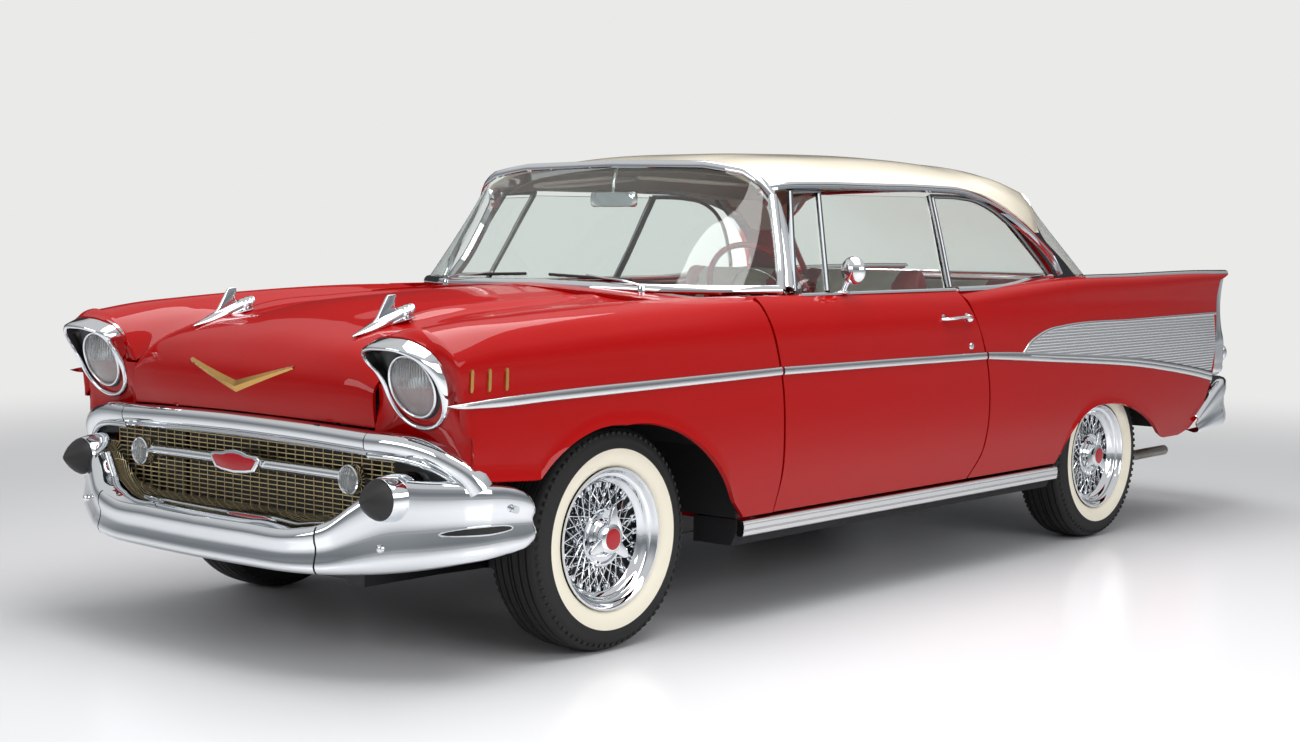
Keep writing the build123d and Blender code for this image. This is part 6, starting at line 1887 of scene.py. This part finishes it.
# rear side cards, headliner, sun visors and the parcel shelf
sideCard = prismPiece("quarter_card_left", [(330, 480), (330, 1000), (900, 1022), (960, 1010), (930, 480)],
                      592, 599, redVinyl, "X", bevel=2)
sidePanel = prismPiece("panel", [(350, 660), (350, 900), (920, 900), (925, 660)], 589, 592.5, silverVinyl,
                       "X", bevel=1)
sideLedge = prismPiece("ledge", [(300, 1000), (960, 1008), (960, 1016), (300, 1010)], 592, 790, redVinyl,
                       "X", bevel=3)
sideCard = tidyMesh(joinObjects([sideCard, sidePanel, sideLedge], "quarter_card_left"), 45)
bothSides(sideCard, "body")
roofNormal = gridNormals(roofGrid)
roofLow = (roofGrid - roofNormal * np.sign(roofNormal[..., 2:]) * 40)[6:-8, 5:-5]
headliner = shellPiece("headliner", roofLow, roofLow + [0, 0, -4], headlinerCloth)
settle(headliner, "body")
visorOutline = closedCurve([(60, -700), (66, -560), (120, -548), (430, -556), (470, -590), (476, -672),
                            (430, -700), (200, -704)], 60)
for side, sign in (("left", 1), ("right", -1)):
    visorRings = [[(sign * (260 + (x - 260) * s), -625 + (y + 625) * s, 1402 - 0.06 * (x - 60) + h)
                   for x, y in visorOutline] for s, h in ((0.96, -7), (1.0, -3), (1.0, 3), (0.96, 7))]
    settle(ringPiece("sun_visor_" + side, visorRings, silverVinyl, sharp=70), "body")
shelf = prismPiece("parcel_shelf", [(1040, 1001), (1690, 1001), (1690, 1009), (1040, 1012)], -600, 600,
                   loopCarpet, "X", bevel=3)
settle(shelf, "body")
print("stage: cabin")


# Rear end

rearStations = [(0, 2540, 400, 560), (210, 2533, 400, 560), (420, 2524, 400, 561), (560, 2504, 397, 568),
                (640, 2486, 394, 577), (780, 2430, 388, 592),
                (850, 2372, 385, 594), (888, 2290, 382, 588), (902, 2190, 378, 556), (907, 2080, 374, 500),
                (906, 1985, 372, 442)]
rearSection = [(-56, 1, -8), (-40, 1, -1), (-24, 1, 0), (-10, 1, -4), (-2, 1, -14), (0, 0.78, 0),
               (-4, 0.68, 0), (-9, 0.6, 0), (-9, 0.45, 0), (-4, 0.34, 0),
               (1, 0.22, 0), (0, 0.1, 0), (-8, 0.03, 0), (-22, 0, 0), (-54, 0, 8)]
rearRows = smoothPath(rearStations, 150)
rearWhole = [(-x, y, low, high) for x, y, low,
             high in rearRows[:0:-2]] + [tuple(row) for row in rearRows[::2]]
rearBlade = bladePiece("rear_bumper_blade", rearWhole, rearSection, 210, chromePlate, -1)
settle(rearBlade, "body", "rear_bumper")
# upright guards, and the pods at the blade's ends with their round lamp
guardOutline = [(2522, 396), (2538, 400), (2545, 430), (2546, 560), (2540, 600), (2524, 614), (2500, 606),
                (2500, 400)]
guard = prismPiece("rear_bumper_guard_left", guardOutline, 292, 346, chromePlate, "X", bevel=10, segments=4)
bothSides(guard, "body")
podEnd = turned("rear_bumper_pod_left", [(-150, 30), (-110, 48), (-50, 58), (-8, 60), (0, 57), (2, 50),
                                         (-6, 44), (-16, 42)], chromePlate, (742, 2452, 492), "Y", 56)
bothSides(podEnd, "body")
backLamp = turned("back_up_lamp_left", [(-18, 43), (-8, 43), (-2, 36), (2, 22), (4, 0.6)], flutedGlass,
                  (742, 2450, 492), "Y", 48)
bothSides(backLamp, "body")

redGlass, tree, shader = newMaterial("moulded red lens", {"Base Color": hexColour("#a80a08"),
                                                          "Roughness": 0.12, "Coat Weight": 1.0,
                                                          "Specular IOR Level": 0.5})
lensSpec = {"ringPitch": 7, "ringRelief": 0.9}
linkBump(tree, shader, ribs(tree, "Z", lensSpec["ringPitch"]).outputs["Fac"], lensSpec["ringRelief"] * mm)

# tail-lamp housing: chrome shell under the fin tip, widest at the round red lens
podRings = []
for z, half, front, back in ((606, 22, 2196, 2274), (616, 34, 2180, 2292), (660, 42, 2166, 2306),
                             (720, 43, 2160, 2312), (764, 41, 2164, 2308), (800, 33, 2186, 2300),
                             (850, 25, 2206, 2294), (900, 18, 2226, 2296), (950, 13, 2244, 2306),
                             (1000, 10, 2262, 2322), (1034, 8, 2284, 2338)):
    middle = 838 + (z - 700) * 0.004
    ring = []
    for k in range(28):
        sx, sy = (np.sign(c) * abs(c) ** 0.75 for c in (cos(2 * pi * k / 28), sin(2 * pi * k / 28)))
        ring.append((middle + half * sx, (front + back) / 2 + (back - front) / 2 * sy, z))
    podRings.append(ring)
tailPod = ringPiece("tail_lamp_housing_left", smoothRings(podRings, 60), chromePlate, sharp=70)
bothSides(tailPod, "body")
tailLens = turned("tail_lamp_lens_left", [(-20, 36), (-4, 37), (2, 36), (12, 31), (20, 21), (24, 9),
                                          (25, 0.6)], redGlass, (838, 2306, 702), "Y", 56)
tailRing = turned("tail_lamp_rim_left", [(-16, 34), (-14, 41), (-4, 43), (4, 42), (7, 38.5), (4, 36),
                                         (-16, 34)], chromePlate, (838, 2306, 702), "Y", 56)
bothSides(tailLens, "body")
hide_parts("tail_lamps")
bothSides(tailRing, "body")
# tail panel under the lid, number-plate lamp and trunk handle
tailSheet = []
tailLine = [(-838, 2236), (-700, 2268), (-400, 2276), (0, 2278), (400, 2276), (700, 2268), (838, 2236)]
for z in np.linspace(408, 646, 10):
    tailSheet.append(smoothPath([(x, y, z) for x, y in tailLine], 50))
settle(skinPiece("tail_sheet", np.array(tailSheet), 8, redEnamel), "body")
sideSheets = []
for z in np.linspace(628, 826, 8):
    sideSheets.append([(652 + 190 * t, 2282 - 92 * t * t, z) for t in np.linspace(0, 1, 14)])
bothSides(skinPiece("tail_corner_left", np.array(sideSheets), 8, redEnamel), "body")
lidHandlePath = [(-120, 2286, 690), (-60, 2296, 690), (0, 2302, 690), (60, 2296, 690), (120, 2286, 690)]
lidHandleSection = [(-13, -6), (-12, 2), (-6, 7), (4, 7), (11, 3), (13, -6)]
lidHandle = sweptPiece("trunk_handle", lidHandlePath, 40, lidHandleSection, (0, 1, 0), chromePlate, 50)
lidLock = turned("lock", [(-6, 14), (2, 14), (5, 11), (6, 0.6)], chromePlate, (0, 2304, 668), "Y", 28)
settle(tidyMesh(joinObjects([lidHandle, lidLock], "trunk_handle"), 45), "trunk_lid")
lampBox = prismPiece("plate_lamp", [(2276, 606), (2300, 600), (2304, 616), (2300, 628), (2276, 630)], -60,
                     60, chromePlate, "X", bevel=4)
settle(lampBox, "body")
settle(boxPiece("trunk_floor_mat", (-690, 1960, 432), (690, 2262, 437), loopCarpet), "body")
print("stage: rear end")

# Under the car: exhaust as a round pipe with an oval muffler
aluminised, tree, shader = newMaterial("aluminised steel, heat dulled",
                                       {"Base Color": hexColour("#8b8780"), "Metallic": 1.0,
                                        "Roughness": 0.42})
cloud = pattern(tree, "ShaderNodeTexNoise", {"Scale": 14.0, "Detail": 5.0})
stains = addNode(tree, "ShaderNodeMapRange", {"From Min": 0.3, "From Max": 0.75, "To Min": 0.3,
                                              "To Max": 0.62}, {"Value": cloud.outputs["Fac"]})
tree.links.new(stains.outputs["Result"], shader.inputs["Roughness"])
pipePath = [(200, -1300, 440), (232, -1262, 392), (236, -1200, 260), (236, -1120, 192), (236, -900, 188),
            (236, 300, 188), (236, 660, 188), (250, 900, 188),
            (300, 1249, 188), (420, 1420, 188), (540, 1560, 196), (594, 1700, 232), (600, 1850, 246),
            (600, 2060, 249), (600, 2296, 250)]
pipe = sweptPiece("pipe", pipePath, 130, roundSection(22, 22, 20), (1, 0, 0.01), aluminised, 70)
tipInside = turned("tip", [(-60, 19), (0.5, 19), (0.5, 0.6), (-60, 0.6)], blackEnamel, (600, 2295, 250),
                   "Y", 24)
mufflerOutline = [(-420, 142), (180, 142), (180, 214), (-420, 214)]
muffler = prismPiece("muffler", mufflerOutline, 152, 318, aluminised, "X", bevel=28, segments=6)
roundEdges(muffler, 2, 1, 30)
settle(tidyMesh(joinObjects([pipe, tipInside, muffler], "exhaust_pipe"), 50), "body", "exhaust")

# materials of the parts that the body hides
undercoat = grainedFinish("undercoating, sprayed black", "#17171a", 0.85, 5.0, 0.9)
chassisBlack = grainedFinish("chassis enamel, satin black", "#121214", 0.38, 26.0, 0.15)
castIron = grainedFinish("engine enamel on rough cast iron", "#8e2a12", 0.5, 3.0, 0.5)
springSteel = grainedFinish("spring steel, oiled", "#2b2a2a", 0.45, 4.0, 0.2)
galvanised, tree, shader = newMaterial("terne-coated tank steel", {"Base Color": hexColour("#7e8184"),
                                                                   "Metallic": 1.0, "Roughness": 0.45})
spangle = pattern(tree, "ShaderNodeTexVoronoi", {"Scale": 1 / (18 * mm)})
tone = addNode(tree, "ShaderNodeMapRange", {"To Min": 0.34, "To Max": 0.58},
               {"Value": spangle.outputs["Distance"]})
tree.links.new(tone.outputs["Result"], shader.inputs["Roughness"])
# floor: carpet above, undercoating below, told apart by which way the sheet faces
floorFinish, tree, shader = newMaterial("floor pan, carpet over undercoating", {"Roughness": 0.9})
place = addNode(tree, "ShaderNodeTexCoord")
facing = addNode(tree, "ShaderNodeSeparateXYZ", {}, {"Vector": place.outputs["Normal"]})
isTop = addNode(tree, "ShaderNodeMath", {"operation": "GREATER_THAN", 1: 0.2}, {0: facing.outputs["Z"]})
colourMix = addNode(tree, "ShaderNodeMix", {"data_type": "RGBA"}, {"Factor": isTop.outputs["Value"]})
for socket, colour in (("A", "#17171a"), ("B", "#3c0d0b")):
    colourMix.inputs[socket].default_value = hexColour(colour)
tree.links.new(colourMix.outputs["Result"], shader.inputs["Base Color"])
tufts = addNode(tree, "ShaderNodeTexVoronoi", {"Scale": 1 / (4 * mm)}, {"Vector": place.outputs["Object"]})
linkBump(tree, shader, tufts.outputs["Distance"], 1.2 * mm)
coreFinish, tree, shader = newMaterial("radiator core, black lacquer",
                                       {"Base Color": hexColour("#101012"), "Roughness": 0.5})
coreSpec = {"finPitch": 9, "finDepth": 2.0}
linkBump(tree, shader, ribs(tree, "X", coreSpec["finPitch"]).outputs["Fac"], coreSpec["finDepth"] * mm)
nodeFinishes = {"frame_rails": chassisBlack, "front_suspension": chassisBlack, "rear_axle": chassisBlack,
                "knuckle_left": chassisBlack,
                "knuckle_right": chassisBlack, "leaf_springs": springSteel, "floor_pan": floorFinish,
                "cowl": redEnamel, "wheelhouses": undercoat,
                "rear_deck": redEnamel, "radiator": coreFinish, "engine": castIron, "fuel_tank": galvanised}
for nodeName, finish in nodeFinishes.items():
    coverNode(nodeName, finish)
print("stage: underside")
